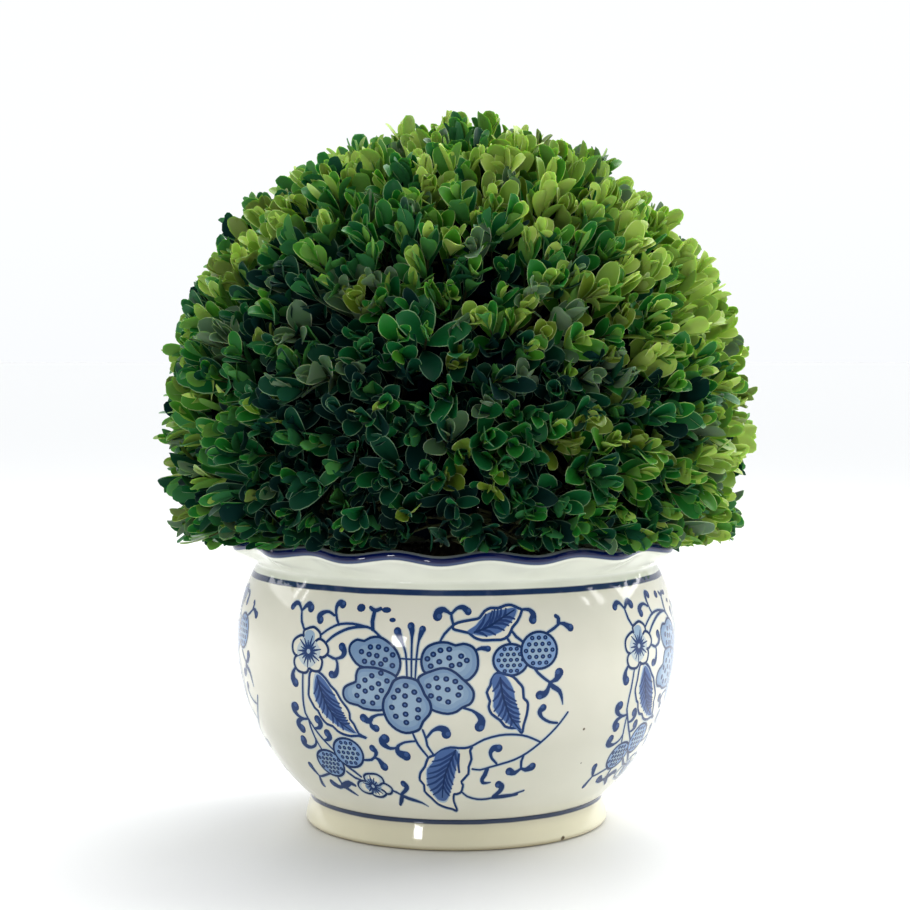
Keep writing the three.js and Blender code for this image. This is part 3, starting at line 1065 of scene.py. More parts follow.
    def draw_crescent(self, brush: Brush) -> None:
        """Draws the crescent vine at the lower right, with its curls."""
        brush.line((0, 51), (4, 53.3), (8, 54.8), (13, 57.5), (20, 59.3), (26, 59.5), (31.5, 58.8),
            (36, 57.3), (41, 55), width=1.15)
        brush.line((53.5, 68.3), (50, 63.5), (46, 59), (41, 54.5), (35, 50), (29, 47), (23, 45.3),
            (17, 43.8), (12, 42.5), (8, 43), width=1.15)
        brush.line((48.5, 63.6), (44.5, 64.3), (40.5, 66.5), (38.8, 69.4), (40.4, 71.4), bulb=1.7)
        brush.line((20, 45.5), (17.5, 48), (16.5, 51), (18, 53.2), (20.3, 53), bulb=2.0)
        brush.line((33.5, 49), (32.8, 46), (33.5, 42))
        brush.line((33.5, 42.5), (30.5, 40.2), (27.2, 41.2), bulb=2.0)
        brush.line((33.3, 42.5), (36, 41.5), (39.3, 42.8), bulb=2.1)
        brush.line((15.5, 42.8), (14.6, 39.8), (13.4, 37.6), (14.4, 35.6), (18, 35.8), width=2.6,
            taper=0.7)

    def draw_lower_leaf(self, brush: Brush) -> None:
        """Draws the leaf at the bottom, the stems to it and the tendril beside it."""
        brush.line((-20.5, 60), (-18.5, 55), (-14.5, 49.5), width=1.2)
        brush.line((-15.8, 62), (-14.5, 58), (-14, 54.5), (-11.5, 50.5), width=1.2)
        brush.line((-14, 58.5), (-11.5, 61.5), (-8, 63), (-5.3, 62), (-4.8, 60.2), bulb=2.3)
        brush.line((-19.8, 56.5), (-24.7, 55.8), (-28.4, 53.7), (-28.6, 50.6), (-25, 49), width=1.2,
            bulb=2.4)
        brush.line((-28.6, 53), (-32.5, 52.4), (-35.6, 54.2), (-36, 56), (-34.5, 57), bulb=2.3)
        brush.line((-32.9, 68.7), (-36.5, 68.3), (-39.7, 66.9), (-41.5, 64.9), (-44.2, 66.3), width=1.3,
            bulb=2.0)
        brush.line((-41, 65.3), (-40.5, 62.7), (-38.4, 61.7), bulb=1.8)
        brush.line((3, 72.5), (7, 71.3), (10, 69), (11.5, 66.4), (10.6, 63.6), width=1.3, bulb=2.4)
        brush.line((2.5, 31.3), (6, 28.5), (12, 26.8), (17, 26.8), (22, 27.5), (29, 28), (38.5, 30.3),
            width=1.15)
        brush.line((21, 27.6), (29, 28), (35, 28.5), width=2.3, taper=0.3)
        brush.line((21, 28), (24, 30.5), (24.8, 33.2), (22.6, 34.6), width=2.4, bulb=1.9)
        brush.leaf(
            [(-16, 44), (-14, 48.5), (-10.5, 50), (-7, 52.5), (-3, 53.8), (1, 53.5), (4, 53.5),
             (7.3, 54), (6.5, 52), (7.3, 48), (6, 44), (6, 40.5), (2.5, 36.5), (3.4, 34.8), (2.5, 31),
             (0, 29.8), (-1.5, 29.5), (-1.6, 25.6), (0.3, 20.4), (-3, 21.4), (-6, 22), (-11, 24),
             (-14.5, 27.5), (-17.8, 31), (-17.6, 34.5), (-19.5, 37), (-18.5, 41)],
            [(-1, 53), (-7, 52.3), (-10.5, 49.5), (-11.5, 46.5), (-15, 42.8), (-15.5, 38),
             (-15.5, 34.5), (-13.5, 31), (-11, 26.8), (-6.8, 26), (-4.5, 28.6), (-3, 33), (-1.5, 38),
             (-0.5, 43), (1, 50)],
            [(-0.5, 52.5), (-3.5, 46), (-6.5, 38), (-8.2, 28)],
            7,
        )
        brush.line((1.2, 50.5), (0.8, 46), (1.3, 41.5), width=1.3)

    def draw_left_leaf(self, brush: Brush) -> None:
        """Draws the long leaf under the open blossom."""
        brush.leaf(
            [(-72, 84.7), (-72.9, 79.1), (-73.8, 74.5), (-72.9, 71.9), (-71.1, 68.7), (-69.3, 67.4),
             (-67.9, 64.2), (-65.2, 61.5), (-62, 60.8), (-59.7, 58.7), (-56.5, 57.4), (-52.5, 56.9),
             (-48.4, 57.4), (-44.3, 56.7), (-48, 58.6), (-49.7, 62.8), (-51.5, 65.1), (-51.3, 67.8),
             (-52.5, 70.5), (-55.2, 73.8), (-57.5, 77.7), (-60.2, 80), (-62.9, 83.2), (-66.5, 85.7),
             (-69.5, 86.2)],
            [(-68.5, 83.5), (-70.2, 75), (-68, 70), (-65.5, 66), (-60, 62), (-55, 59.5), (-49.2, 58.4),
             (-50.6, 60.5), (-53, 63.5), (-55, 67.4), (-57, 73), (-61, 79.5), (-65.5, 84)],
            [(-67.6, 83.4), (-65.5, 76), (-62.5, 69), (-57.5, 63.3), (-50.5, 58.9)],
            8,
        )

    def draw_lower_left(self, brush: Brush) -> None:
        """Draws the two dotted berries, the small blossom and the bottom sprigs."""
        brush.line((-47.9, 45.5), (-43.8, 46), (-41.5, 47.8))
        brush.line((-42, 47), (-40.4, 49.8), (-42, 51.9), width=1.4, bulb=1.7)
        brush.line((-42, 47.3), (-39.7, 46.3), (-37.6, 42.9), width=1.3, bulb=2.2)
        brush.line((-60.2, 41.5), (-56.1, 38.7), (-53.4, 36.5))
        brush.line((-61.5, 38.3), (-57.5, 35.5), (-54.3, 34.6))
        brush.line((-72, 36.5), (-77, 35.1), (-82.9, 33.3), (-85.6, 33), width=1.2)
        brush.line((-85.2, 33), (-87, 35.8), (-88, 38.2), width=1.4, bulb=1.9)
        brush.line((-85.2, 33), (-86.5, 30.5), (-87.3, 28.2), width=1.5, bulb=1.5)
        brush.line((-70, 36), (-69.7, 32.4), (-69.3, 30.1), width=1.5)
        brush.line((-69.3, 29.6), (-72.9, 28.9), (-76.8, 30.5), width=1.6, bulb=2.0)
        brush.line((-69.5, 29.8), (-66.5, 30.8), (-62.9, 32.2), (-60, 31.2), width=3.6, taper=0.5)
        brush.line((-69, 29.6), (-66.5, 28.3), (-62, 25.5), width=2.4, taper=0.6)
        brush.berry((-70.6, 41.6), (8.6, 6.6), 2.5, 1.1)
        brush.berry((-56.5, 48.3), (8.5, 7.2), 2.8, 1.1)
        petals = (
            ((-50.5, 34), (-51.5, 36.6), (-49.5, 38.2), (-46.5, 38.6), (-43.4, 38.6), (-40.6, 36.8),
             (-40.6, 33.9), (-44, 32.6)),
            ((-41.3, 34), (-38, 33), (-36.5, 31), (-38.4, 28.6), (-42, 28.6), (-45, 31)),
            ((-41.1, 28.5), (-44.7, 26.3), (-48.8, 26.4), (-50.6, 28), (-48, 30.5), (-44, 30.8)),
            ((-50, 28.2), (-53, 27.5), (-56.5, 28.6), (-57.7, 31.3), (-55.6, 33.8), (-51.5, 34.2),
             (-48.6, 31.5)),
        )
        for petal in petals:
            brush.petal(*petal, tones=(Tone.PALE, Tone.HALO, Tone.BARE), width=1.15)
        brush.patch([(-47.9, 36), (-44.2, 33.6), (-43, 31.2), (-46, 28.6), (-49.5, 28.4), (-53, 30.6),
            (-51.5, 33.8)], Tone.EDGE)
        brush.rays((-47.9, 31.9), 14, 0.8, (4.8, 3.2, 4.0))
        brush.dot((-47.9, 31.9), 0.9, Tone.PALE)
        brush.line((-36.5, 30.4), (-34.3, 29.6), (-32, 28.3), width=1.3)
        brush.line((-32, 28.5), (-29, 30.8), (-27.5, 33), (-29, 34.6), width=1.8, bulb=1.7)
        brush.line((-31.5, 28), (-33, 25.3), (-34.9, 22.6), width=2.6, taper=0.4)
        brush.line((-32, 28.2), (-28.4, 26.7), (-23.8, 25.5), (-20.5, 24.5), (-17, 22.4), width=2.2,
            taper=0.85)

    def draw(self) -> Brush:
        """Paints one whole panel, the hindmost things first."""
        brush = Brush()
        self.draw_upper_left(brush)
        self.draw_left_vine(brush)
        self.draw_left_leaf(brush)
        self.draw_large_blossom(brush)
        self.draw_stamens(brush)
        self.draw_upper_right(brush)
        self.draw_right_side(brush)
        self.draw_crescent(brush)
        self.draw_lower_leaf(brush)
        self.draw_lower_left(brush)
        self.draw_middle_bloom(brush)
        return brush

    def flat_triangles(self, brush: Brush) -> Plan:
        """Cuts the overlapping painted shapes into triangles that each have one tone.

        The shapes are cut where they cross. Only the borders between two tones are kept then, and the
        plan is cut anew along them with an even net of points, so that it can bend round the pot.

        Args:
            brush: The painted shapes.

        Returns:
            The points on the plan, the triangles and their tones.
        """
        shapes = brush.bled + brush.shapes
        shape_tones = [Tone.HALO] * len(brush.bled) + brush.tones
        points, _, faces, _, _, covers = geometry.delaunay_2d_cdt(brush.points, [], shapes, 0, 1e-4)
        face_tones = [shape_tones[max(cover)] if cover else Tone.BARE for cover in covers]
        sides = sides_of(faces, face_tones)
        borders = [
            edge for edge, tone in sides.items()
            if tone is not sides.get((edge[1], edge[0]), Tone.BARE)
        ]
        corners = sorted({corner for edge in borders for corner in edge})
        number = {old: new for new, old in enumerate(corners)}
        low = Vector((min(p.x for p in points), min(p.y for p in points)))
        high = Vector((max(p.x for p in points), max(p.y for p in points)))
        net = [
            low + Vector(((column + 0.5 * (row % 2)) * self.grid, row * self.grid))
            for row in range(math.ceil((high.y - low.y) / self.grid))
            for column in range(math.ceil((high.x - low.x) / self.grid))
        ]
        plan, _, triangles, _, _, _ = geometry.delaunay_2d_cdt(
            [points[corner] for corner in corners] + net,
            [(number[start], number[end]) for start, end in borders],
            [],
            0,
            1e-4,
        )
        tree = BVHTree.FromPolygons([point.to_3d() for point in points], faces)
        kept, tones = [], []
        for triangle in triangles:
            middle = sum((plan[corner] for corner in triangle), Vector((0.0, 0.0))) / 3
            _, _, face, gap = tree.find_nearest(middle.to_3d())
            tone = face_tones[face]
            if tone is not Tone.BARE and gap < self.lift:
                kept.append(list(triangle))
                tones.append(tone)
        return plan, kept, tones

    def build(self) -> None:
        """Paints one panel and sets it round the pot, in two pieces with every other panel each."""
        flat = self.flat_triangles(self.draw())
        blues = [
            PlainFinish(f"cobalt_{tone.name.lower()}", colour, 0.08, 0.22).make()
            for tone, colour in BLUES.items()
        ]
        quarter = 2 * math.pi / self.panels
        self.build_ring("painted_flowers_front_and_back", flat, blues, 0.0, 2 * quarter)
        self.build_ring("painted_flowers_sides", flat, blues, quarter, 2 * quarter - self.left_shift)

    def build_ring(
        self,
        name: str,
        flat: Plan,
        blues: Sequence[Material],
        first_turn: float,
        step: float,
    ) -> None:
        """Makes a panel's paint as a thin closed skin on the glaze, on two opposite sides of the pot.

        Args:
            name: The piece's name.
            flat: The panel's points, triangles and tones.
            blues: The materials, in the order of the tones.
            first_turn: The turn of the first copy round the pot.
            step: The turn from one copy to the next.
        """
        plan, triangles, tones = flat
        used = sorted({corner for triangle in triangles for corner in triangle})
        number = {old: new for new, old in enumerate(used)}
        triangles = [[number[corner] for corner in triangle] for triangle in triangles]
        count = len(used)
        sides = sides_of(triangles, tones)
        rim = [edge for edge in sides if (edge[1], edge[0]) not in sides]
        faces = list(triangles)
        faces += [[corner + count for corner in reversed(triangle)] for triangle in triangles]
        faces += [[end, start, start + count, end + count] for start, end in rim]
        zones = tones + tones + [sides[edge] for edge in rim]
        top = [self.pot.on_wall(plan[old].x, plan[old].y, self.lift) for old in used]
        under = [self.pot.on_wall(plan[old].x, plan[old].y, -self.sink) for old in used]
        panel = mesh_object(name, top + under, faces)
        set_attribute(panel.data, "zone", "INT", "FACE", zones)
        borders = {frozenset(edge) for edge in rim}
        for edge in panel.data.edges:
            first, second = edge.vertices
            edge.use_edge_sharp = frozenset((first % count, second % count)) in borders
        recipe = Recipe(f"{name}_round_pot")
        count = recipe.given("Copies", "NodeSocketInt", self.panels // 2)
        begin = recipe.given("First turn", "NodeSocketFloat", first_turn)
        spacing = recipe.given("Turn between copies", "NodeSocketFloat", step)
        index = recipe.node("GeometryNodeInputIndex").outputs[0]
        turn = recipe.maths("MULTIPLY_ADD", index, spacing, begin)
        upright = recipe.node("ShaderNodeCombineXYZ", {2: turn}).outputs[0]
        places = recipe.node("GeometryNodePoints", {"Count": count}).outputs[0]
        ring = recipe.copies(places, recipe.geometry, upright)
        recipe.run(panel, ring, blues)
        wear(panel, Slot.GLAZE, "pot")


@dataclass(frozen=True)
class EarthFinish:
    """A crumbly or fibrous finish: two colours mixed by noise, with a rough relief."""

    name: str
    dark: Colour
    light: Colour
    scale: float
    stretch: Point = (1.0, 1.0, 1.0)
    relief: float = 0.6
    roughness: float = 0.9

    def make(self) -> Material:
        """Makes the material from noise on object coordinates."""
        material, graph, shader = start_material(self.name)
        place = graph.node("ShaderNodeTexCoord").outputs["Object"]
        turned = graph.node("ShaderNodeMapping", {"Vector": place, "Scale": self.stretch}).outputs[0]
        grain = graph.noise(turned, self.scale, 6.0)
        mixed = graph.blend(graph.remap(grain, 0.35, 0.68), linear(self.dark), linear(self.light))
        graph.link(mixed, shader.inputs["Base Color"])
        graph.link(graph.relief(grain, 0.8, self.relief), shader.inputs["Normal"])
        shader.inputs["Roughness"].default_value = self.roughness
        return material


@dataclass
class Soil:
    """The compost in the pot: a solid body with a crumbly top and loose crumbs lying on it."""

    pot: GlazedPot
    top: float = 128.0
    gap: float = 0.4
    edge_drop: float = 2.0
    crumb_height: float = 1.1
    segments: int = 144
    crumbs_per_square: float = 60000.0
    crumb_size: float = 1.5
    crumb_turns: tuple[Point, Point] = ((0.0, 0.0, 0.0), (6.3, 6.3, 6.3))
    crumb_stretch: tuple[Point, Point] = ((0.3, 0.3, 0.2), (1.3, 0.9, 0.7))
    seed: int = 5
    finish: EarthFinish = EarthFinish("compost", (24, 17, 12), (72, 54, 38), 260.0)

    def build(self) -> None:
        """Makes the compost and its crumbs as one piece."""
        pot = self.pot
        inset = pot.wall + self.gap
        low = pot.floor_top + pot.wall + self.gap
        edge = self.top - self.edge_drop
        wall = pot.arc(low, pot.belly_height, inset, 12) + pot.arc(pot.belly_height, edge, inset, 8)[1:]
        bottom = [(0.0, pot.floor_top + self.gap), (wall[0][0] - pot.wall, pot.floor_top + self.gap)]
        radii = np.linspace(wall[-1][0] - 1.5, 2.0, 48)
        surface = [(float(r), self.top) for r in radii] + [(0.0, self.top)]
        points, faces = revolve(bottom + wall + surface, self.segments)
        for point in points:
            if point[2] > edge:
                spot = Vector((point[0], point[1], 0.0))
                rough = noise.noise(spot * 0.16) + 0.5 * noise.noise(spot * 0.5)
                point[2] += self.crumb_height * rough * 0.7 - 0.4
        soil = mesh_object("compost", points, faces)
        recipe = Recipe("crumbs_on_compost")
        density = recipe.given("Crumbs per square metre", "NodeSocketFloat", self.crumbs_per_square)
        size = recipe.given("Crumb size", "NodeSocketFloat", self.crumb_size * MM)
        seed = recipe.given("Seed", "NodeSocketInt", self.seed)
        normal = recipe.node("GeometryNodeInputNormal").outputs[0]
        facing = recipe.node("ShaderNodeSeparateXYZ", {0: normal}).outputs["Z"]
        upward = recipe.maths("GREATER_THAN", facing, 0.6)
        scattered = recipe.node(
            "GeometryNodeDistributePointsOnFaces",
            {"Mesh": recipe.geometry, "Selection": upward, "Density": density, "Seed": seed},
        )
        crumb = recipe.node("GeometryNodeMeshIcoSphere", {"Radius": size, "Subdivisions": 1})
        turn, stretch = (
            recipe.node(
                "FunctionNodeRandomValue", {0: least, 1: most, 8: seed}, data_type="FLOAT_VECTOR"
            ).outputs[0]
            for least, most in (self.crumb_turns, self.crumb_stretch)
        )
        crumbs = recipe.copies(scattered.outputs["Points"], crumb.outputs["Mesh"], turn, Scale=stretch)
        joined = recipe.node("GeometryNodeJoinGeometry", {"Geometry": crumbs})
        recipe.link(recipe.geometry, joined.inputs["Geometry"])
        recipe.run(soil, joined.outputs[0], [self.finish.make()])
        wear(soil, Slot.SOIL, "soil")


@dataclass
class Stem:
    """The short stem between the soil and the leaves, with ridged bark and a flared foot."""

    foot_height: float = 129.4
    length: float = 66.0
    foot_radius: float = 9.0
    tip_radius: float = 6.0
    flare: float = 4.5
    flare_height: float = 7.0
    lean: float = 4.0
    root_ridges: int = 5
    ridge_depth: float = 0.14
    ridge_fade: float = 8.0
    furrows: int = 17
    furrow_depth: float = 0.5
    rings: int = 90
    sides: int = 96

    def centre(self, share: float) -> Vector:
        """Gives the middle of the stem at a share of its length."""
        return Vector((self.lean * share**2, 0.0, self.foot_height + share * self.length))

    def radius(self, share: float) -> float:
        """Gives the stem's radius at a share of its length."""
        taper = self.foot_radius + (self.tip_radius - self.foot_radius) * share
        return taper + self.flare * math.exp(-share * self.length / self.flare_height)

    def build(self, bark: Material) -> None:
        """Makes the stem with its bark's relief.

        Args:
            bark: The material of the wood.
        """
        shares = [step / self.rings for step in range(self.rings + 1)]
        section = [(0.0, 0.0)] + [(self.radius(s), s) for s in shares] + [(0.0, 1.0)]
        points, faces = revolve(section, self.sides)
        for point in points:
            share = float(point[2])
            angle = math.atan2(point[1], point[0])
            depth = self.ridge_depth * math.exp(-share * self.ridge_fade)
            swell = 1 + depth * math.cos(self.root_ridges * angle)
            spot = Vector((math.cos(angle) * 2.2, math.sin(angle) * 2.2, share * 5))
            bend = 1.6 * noise.noise(spot)
            groove = abs(math.sin(0.5 * self.furrows * angle + bend)) ** 0.6 - 1
            radius = math.hypot(point[0], point[1])
            if radius > 0:
                grown = swell + self.furrow_depth * groove / radius
                point[0] *= grown
                point[1] *= grown
            point[:] = self.centre(share) + Vector((point[0], point[1], 0.0))
        stem = mesh_object("bark_stem", points, faces)
        stem.data.materials.append(bark)
        wear(stem, Slot.BARK, "stem")


@dataclass
class Limb:
    """One tapering limb, as the points along its middle and its radius at each."""

    points: list[Vector]
    radii: list[float]

    @property
    def tip(self) -> Vector:
        """Gives the limb's end."""
        return self.points[-1]

    @property
    def heading(self) -> Vector:
        """Gives the direction in which the limb ends."""
        return (self.points[-1] - self.points[-2]).normalized()


def grow_limb(start: Vector, heading: Vector, end: Vector, radii: Place, steps: int, rng: Random) -> Limb:
    """Grows one limb that leaves in a heading and bends to its end.

    Args:
        start: Where it leaves its parent.
        heading: The direction in which it leaves.
        end: Where it ends.
        radii: Its radius at the start and the end.
        steps: The number of steps along it.
        rng: The seeded source of its crookedness.

    Returns:
        The limb.
    """
    reach = (end - start).length
    bend = start + heading * reach * 0.45
    points = []
    for step in range(steps + 1):
        t = step / steps
        spot = start * (1 - t) ** 2 + bend * 2 * t * (1 - t) + end * t**2
        wander = 0.03 * reach * math.sin(math.pi * t)
        points.append(spot + wander * Vector([rng.uniform(-1, 1) for _ in range(3)]))
    widths = [radii[0] + (radii[1] - radii[0]) * step / steps for step in range(steps + 1)]
    return Limb(points, widths)


@dataclass
class Crown:
    """The clipped ball's envelope: a rounded form that is cut level above the pot's rim."""

    radius: float = 145.0
    half_height: float = 149.0
    centre_height: float = 195.0
    squareness: float = 2.1
    base: float = 143.6
    rim_radius: float = 115.5
    front_hang: float = 143.8
    side_hang: float = 137.0

    @property
    def centre(self) -> Vector:
        """Gives the middle of the ball."""
        return Vector((0.0, 0.0, self.centre_height))

    def reach(self, direction: Vector) -> float:
        """Gives the distance from the middle to the envelope in a direction."""
        across = math.hypot(direction.x, direction.y) / self.radius
        upward = abs(direction.z) / self.half_height
        return (across**self.squareness + upward**self.squareness) ** (-1 / self.squareness)

    def at_depth(self, direction: Vector, depth: float) -> Vector:
        """Gives the place in a direction that lies a depth below the envelope."""
        return self.centre + direction * (self.reach(direction) - depth)

    def within(self, direction: Vector, share: float, clearance: float) -> Vector:
        """Gives the place at a share of the way out, lifted to a clearance above the base."""
        place = self.centre + direction * self.reach(direction) * share
        place.z = max(place.z, self.base + clearance)
        return place

    def is_clear(self, point: Vector) -> bool:
        """Says whether a leaf's point keeps clear of the rim. Leaves hang lower at the sides."""
        across = math.hypot(point.x, point.y)
        if across < self.rim_radius:
            return point.z > self.base
        sideways = (point.x / across) ** 2
        return point.z > self.front_hang + (self.side_hang - self.front_hang) * sideways


@dataclass(frozen=True)
class LeafShape:
    """One leaf, along +Y from its stalk, with its upper face towards +Z."""

    fold: float
    curl: float
    twist: float
    width: float
    notch: float = 0.0
    length: float = 23.0
    thickness: float = 0.32
    stations: tuple[Place, ...] = (
        (0.06, 0.14), (0.20, 0.42), (0.38, 0.74), (0.56, 0.96), (0.72, 1.0), (0.87, 0.82), (0.96, 0.5)
    )
    across: tuple[float, ...] = (-1.0, -0.91, -0.36, 0.36, 0.91, 1.0)

    def spot(self, share: float, side: float, spread: float) -> Vector:
        """Places one point of the upper face.

        Args:
            share: The share of the leaf's length.
            side: The place across, from -1 at the left margin to 1 at the right.
            spread: The half width there, as a share of the widest.

        Returns:
            The point, in millimetres.
        """
        half = self.width * self.length * spread
        x = side * half
        lift = self.fold * abs(x) + 0.42 * half * abs(side) * (1 - abs(side))
        bow = self.curl * self.length * (share**2 - 0.35 * share)
        turn = self.twist * share
        z = lift - bow + x * math.sin(turn)
        run = share * self.length - 0.3 * abs(self.curl) * share * self.length
        return Vector((x * math.cos(turn), run, z))

    def build(self, name: str) -> Object:
        """Makes the leaf as a thin closed lens whose faces carry a zone number.

        Args:
            name: The object's name.

        Returns:
            The leaf, not linked to the scene.
        """
        columns = len(self.across)
        points = [self.spot(0.0, 0.0, 0.0)]
        for share, spread in self.stations:
            for side in self.across:
                points.append(self.spot(share - self.notch * share * (1 - abs(side)) ** 3, side, spread))
        points.append(self.spot(1.0 - self.notch, 0.0, 0.0))
        tip = len(points) - 1
        for share, spread in self.stations:
            points.append(self.spot(share, 0.0, spread) - Vector((0.0, 0.0, self.thickness)))
        rows = len(self.stations)

        def grid(row: int, column: int) -> int:
            """Numbers a vertex of the upper face."""
            return 1 + row * columns + column

        faces: list[tuple[int, ...]] = []
        zones: list[int] = []
        for column in range(columns - 1):
            at_edge = columns > 3 and column in (0, columns - 2)
            zone = LeafZone.MARGIN if at_edge else LeafZone.BLADE
            faces.append((0, grid(0, column + 1), grid(0, column)))
            for row in range(rows - 1):
                low, high = grid(row, column), grid(row + 1, column)
                faces.append((low, low + 1, high + 1, high))
            faces.append((grid(rows - 1, column), grid(rows - 1, column + 1), tip))
            zones += [zone] * (rows + 1)
        for side in (0, columns - 1):
            ribs = [(grid(row, side), tip + 1 + row) for row in range(rows)]
            lines = [(0, 0), *ribs, (tip, tip)]
            for (edge_a, rib_a), (edge_b, rib_b) in zip(lines, lines[1:]):
                ring = [edge_a, edge_b, rib_b, rib_a] if side == 0 else [edge_a, rib_a, rib_b, edge_b]
                faces.append(tuple(dict.fromkeys(ring)))
                zones.append(LeafZone.UNDERSIDE)
        mesh = bpy.data.meshes.new(name)
        mesh.from_pydata([tuple(point * MM) for point in points], [], faces)
        mesh.update()
        mesh.shade_smooth()
        set_attribute(mesh, "zone", "INT", "FACE", zones)
        rim = {0, tip} | {grid(row, side) for row in range(rows) for side in (0, columns - 1)}
        for edge in mesh.edges:
            edge.use_edge_sharp = set(edge.vertices) <= rim
        return bpy.data.objects.new(name, mesh)


CORE_LEAF = LeafShape(
    0.3, 0.1, 0.2, 0.34, stations=((0.15, 0.4), (0.55, 1.0), (0.9, 0.7)), across=(-1.0, 0.0, 1.0)
)


class LeafZone(IntEnum):
    """The parts of a leaf that have their own colour."""

    BLADE = 0
    # The pale rim: partly the leaf's own paler edge and partly a painted highlight along it.
    MARGIN = 1
    UNDERSIDE = 2


@dataclass(frozen=True)
class LeafTint:
    """The three colours of one leaf tint."""

    name: str
    blade: Colour
    margin: Colour
    underside: Colour
    roughness: float = 0.36
    translucency: float = 0.3
    specular: float = 0.2
    matt: float = 0.55

    def finishes(self) -> list[Material]:
        """Makes the plain materials of the tint, in the order of the zones."""
        parts = (
            (LeafZone.BLADE, self.blade, self.roughness),
            (LeafZone.MARGIN, self.margin, self.matt),
            (LeafZone.UNDERSIDE, self.underside, self.matt),
        )
        finishes = []
        for zone, colour, roughness in parts:
            name = f"{self.name}_{zone.name.lower()}"
            finish = PlainFinish(name, colour, roughness, self.specular, self.translucency)
            finishes.append(finish.make())
        return finishes


# Lit and shaded copies of one leaf colour, from the darkest to the brightest, picked by the painted light,
# and two odd tints besides. Each gives its blade, its pale margin and its underside.
TINTS = (
    LeafTint("shade", (4, 34, 30), (78, 104, 86), (10, 44, 40), 0.6, 0.05, 0.06),
    LeafTint("deep", (8, 58, 38), (106, 138, 108), (24, 76, 52), 0.45, 0.1, 0.1),
    LeafTint("mid", (14, 84, 40), (120, 154, 112), (42, 102, 56), 0.4, 0.15, 0.14),
    LeafTint("leaf", (28, 108, 36), (136, 168, 114), (64, 124, 60)),
    LeafTint("fresh", (64, 128, 34), (156, 182, 112), (98, 146, 62)),
    LeafTint("lime", (120, 154, 58), (182, 202, 128), (138, 170, 76)),
    LeafTint("bright", (160, 188, 82), (204, 220, 142), (168, 194, 94)),
    LeafTint("olive", (96, 120, 34), (160, 174, 112), (116, 136, 66)),
    # A paler, duller green spray whose colour is a painted sheen.
    LeafTint("grey", (74, 104, 72), (152, 170, 136), (104, 128, 98), 0.34),
)
# Painted shade: the near-black navy of the leaves deep in the ball, for the dark gaps between sprays.
CORE_TINT = LeafTint("core", (5, 13, 26), (5, 13, 26), (5, 15, 27), 0.8, 0.0, 0.02)
# The tints by painted light, from the most shaded to the most lit.
BRIGHT_ORDER = ("shade", "deep", "mid", "leaf", "fresh", "lime", "bright")
# Each odd tint with the draws that pick it, from and to, and the painted light from which it is used; the
# second one paints a sheen.
ODD_TINTS = (("olive", 0.0, 0.09, 0.34), ("grey", 0.09, 0.18, 0.28))


@dataclass
class Shoot:
    """The leafy end of a twig, with pairs of leaves that stand crosswise to each other."""

    tip: Vector
    heading: Vector
    turn: float
    pairs: int
    light: float
    size: float
    spacing: float = 5.2

    @property
    def foot(self) -> Vector:
        """Gives the place where the shoot leaves its twig."""
        return self.tip - self.heading * (self.pairs * self.spacing + 4.0)


@dataclass
class LeafPlace:
    """Where one leaf sits and how it is turned."""

    point: Vector
    euler: Point
    size: float
    variant: int


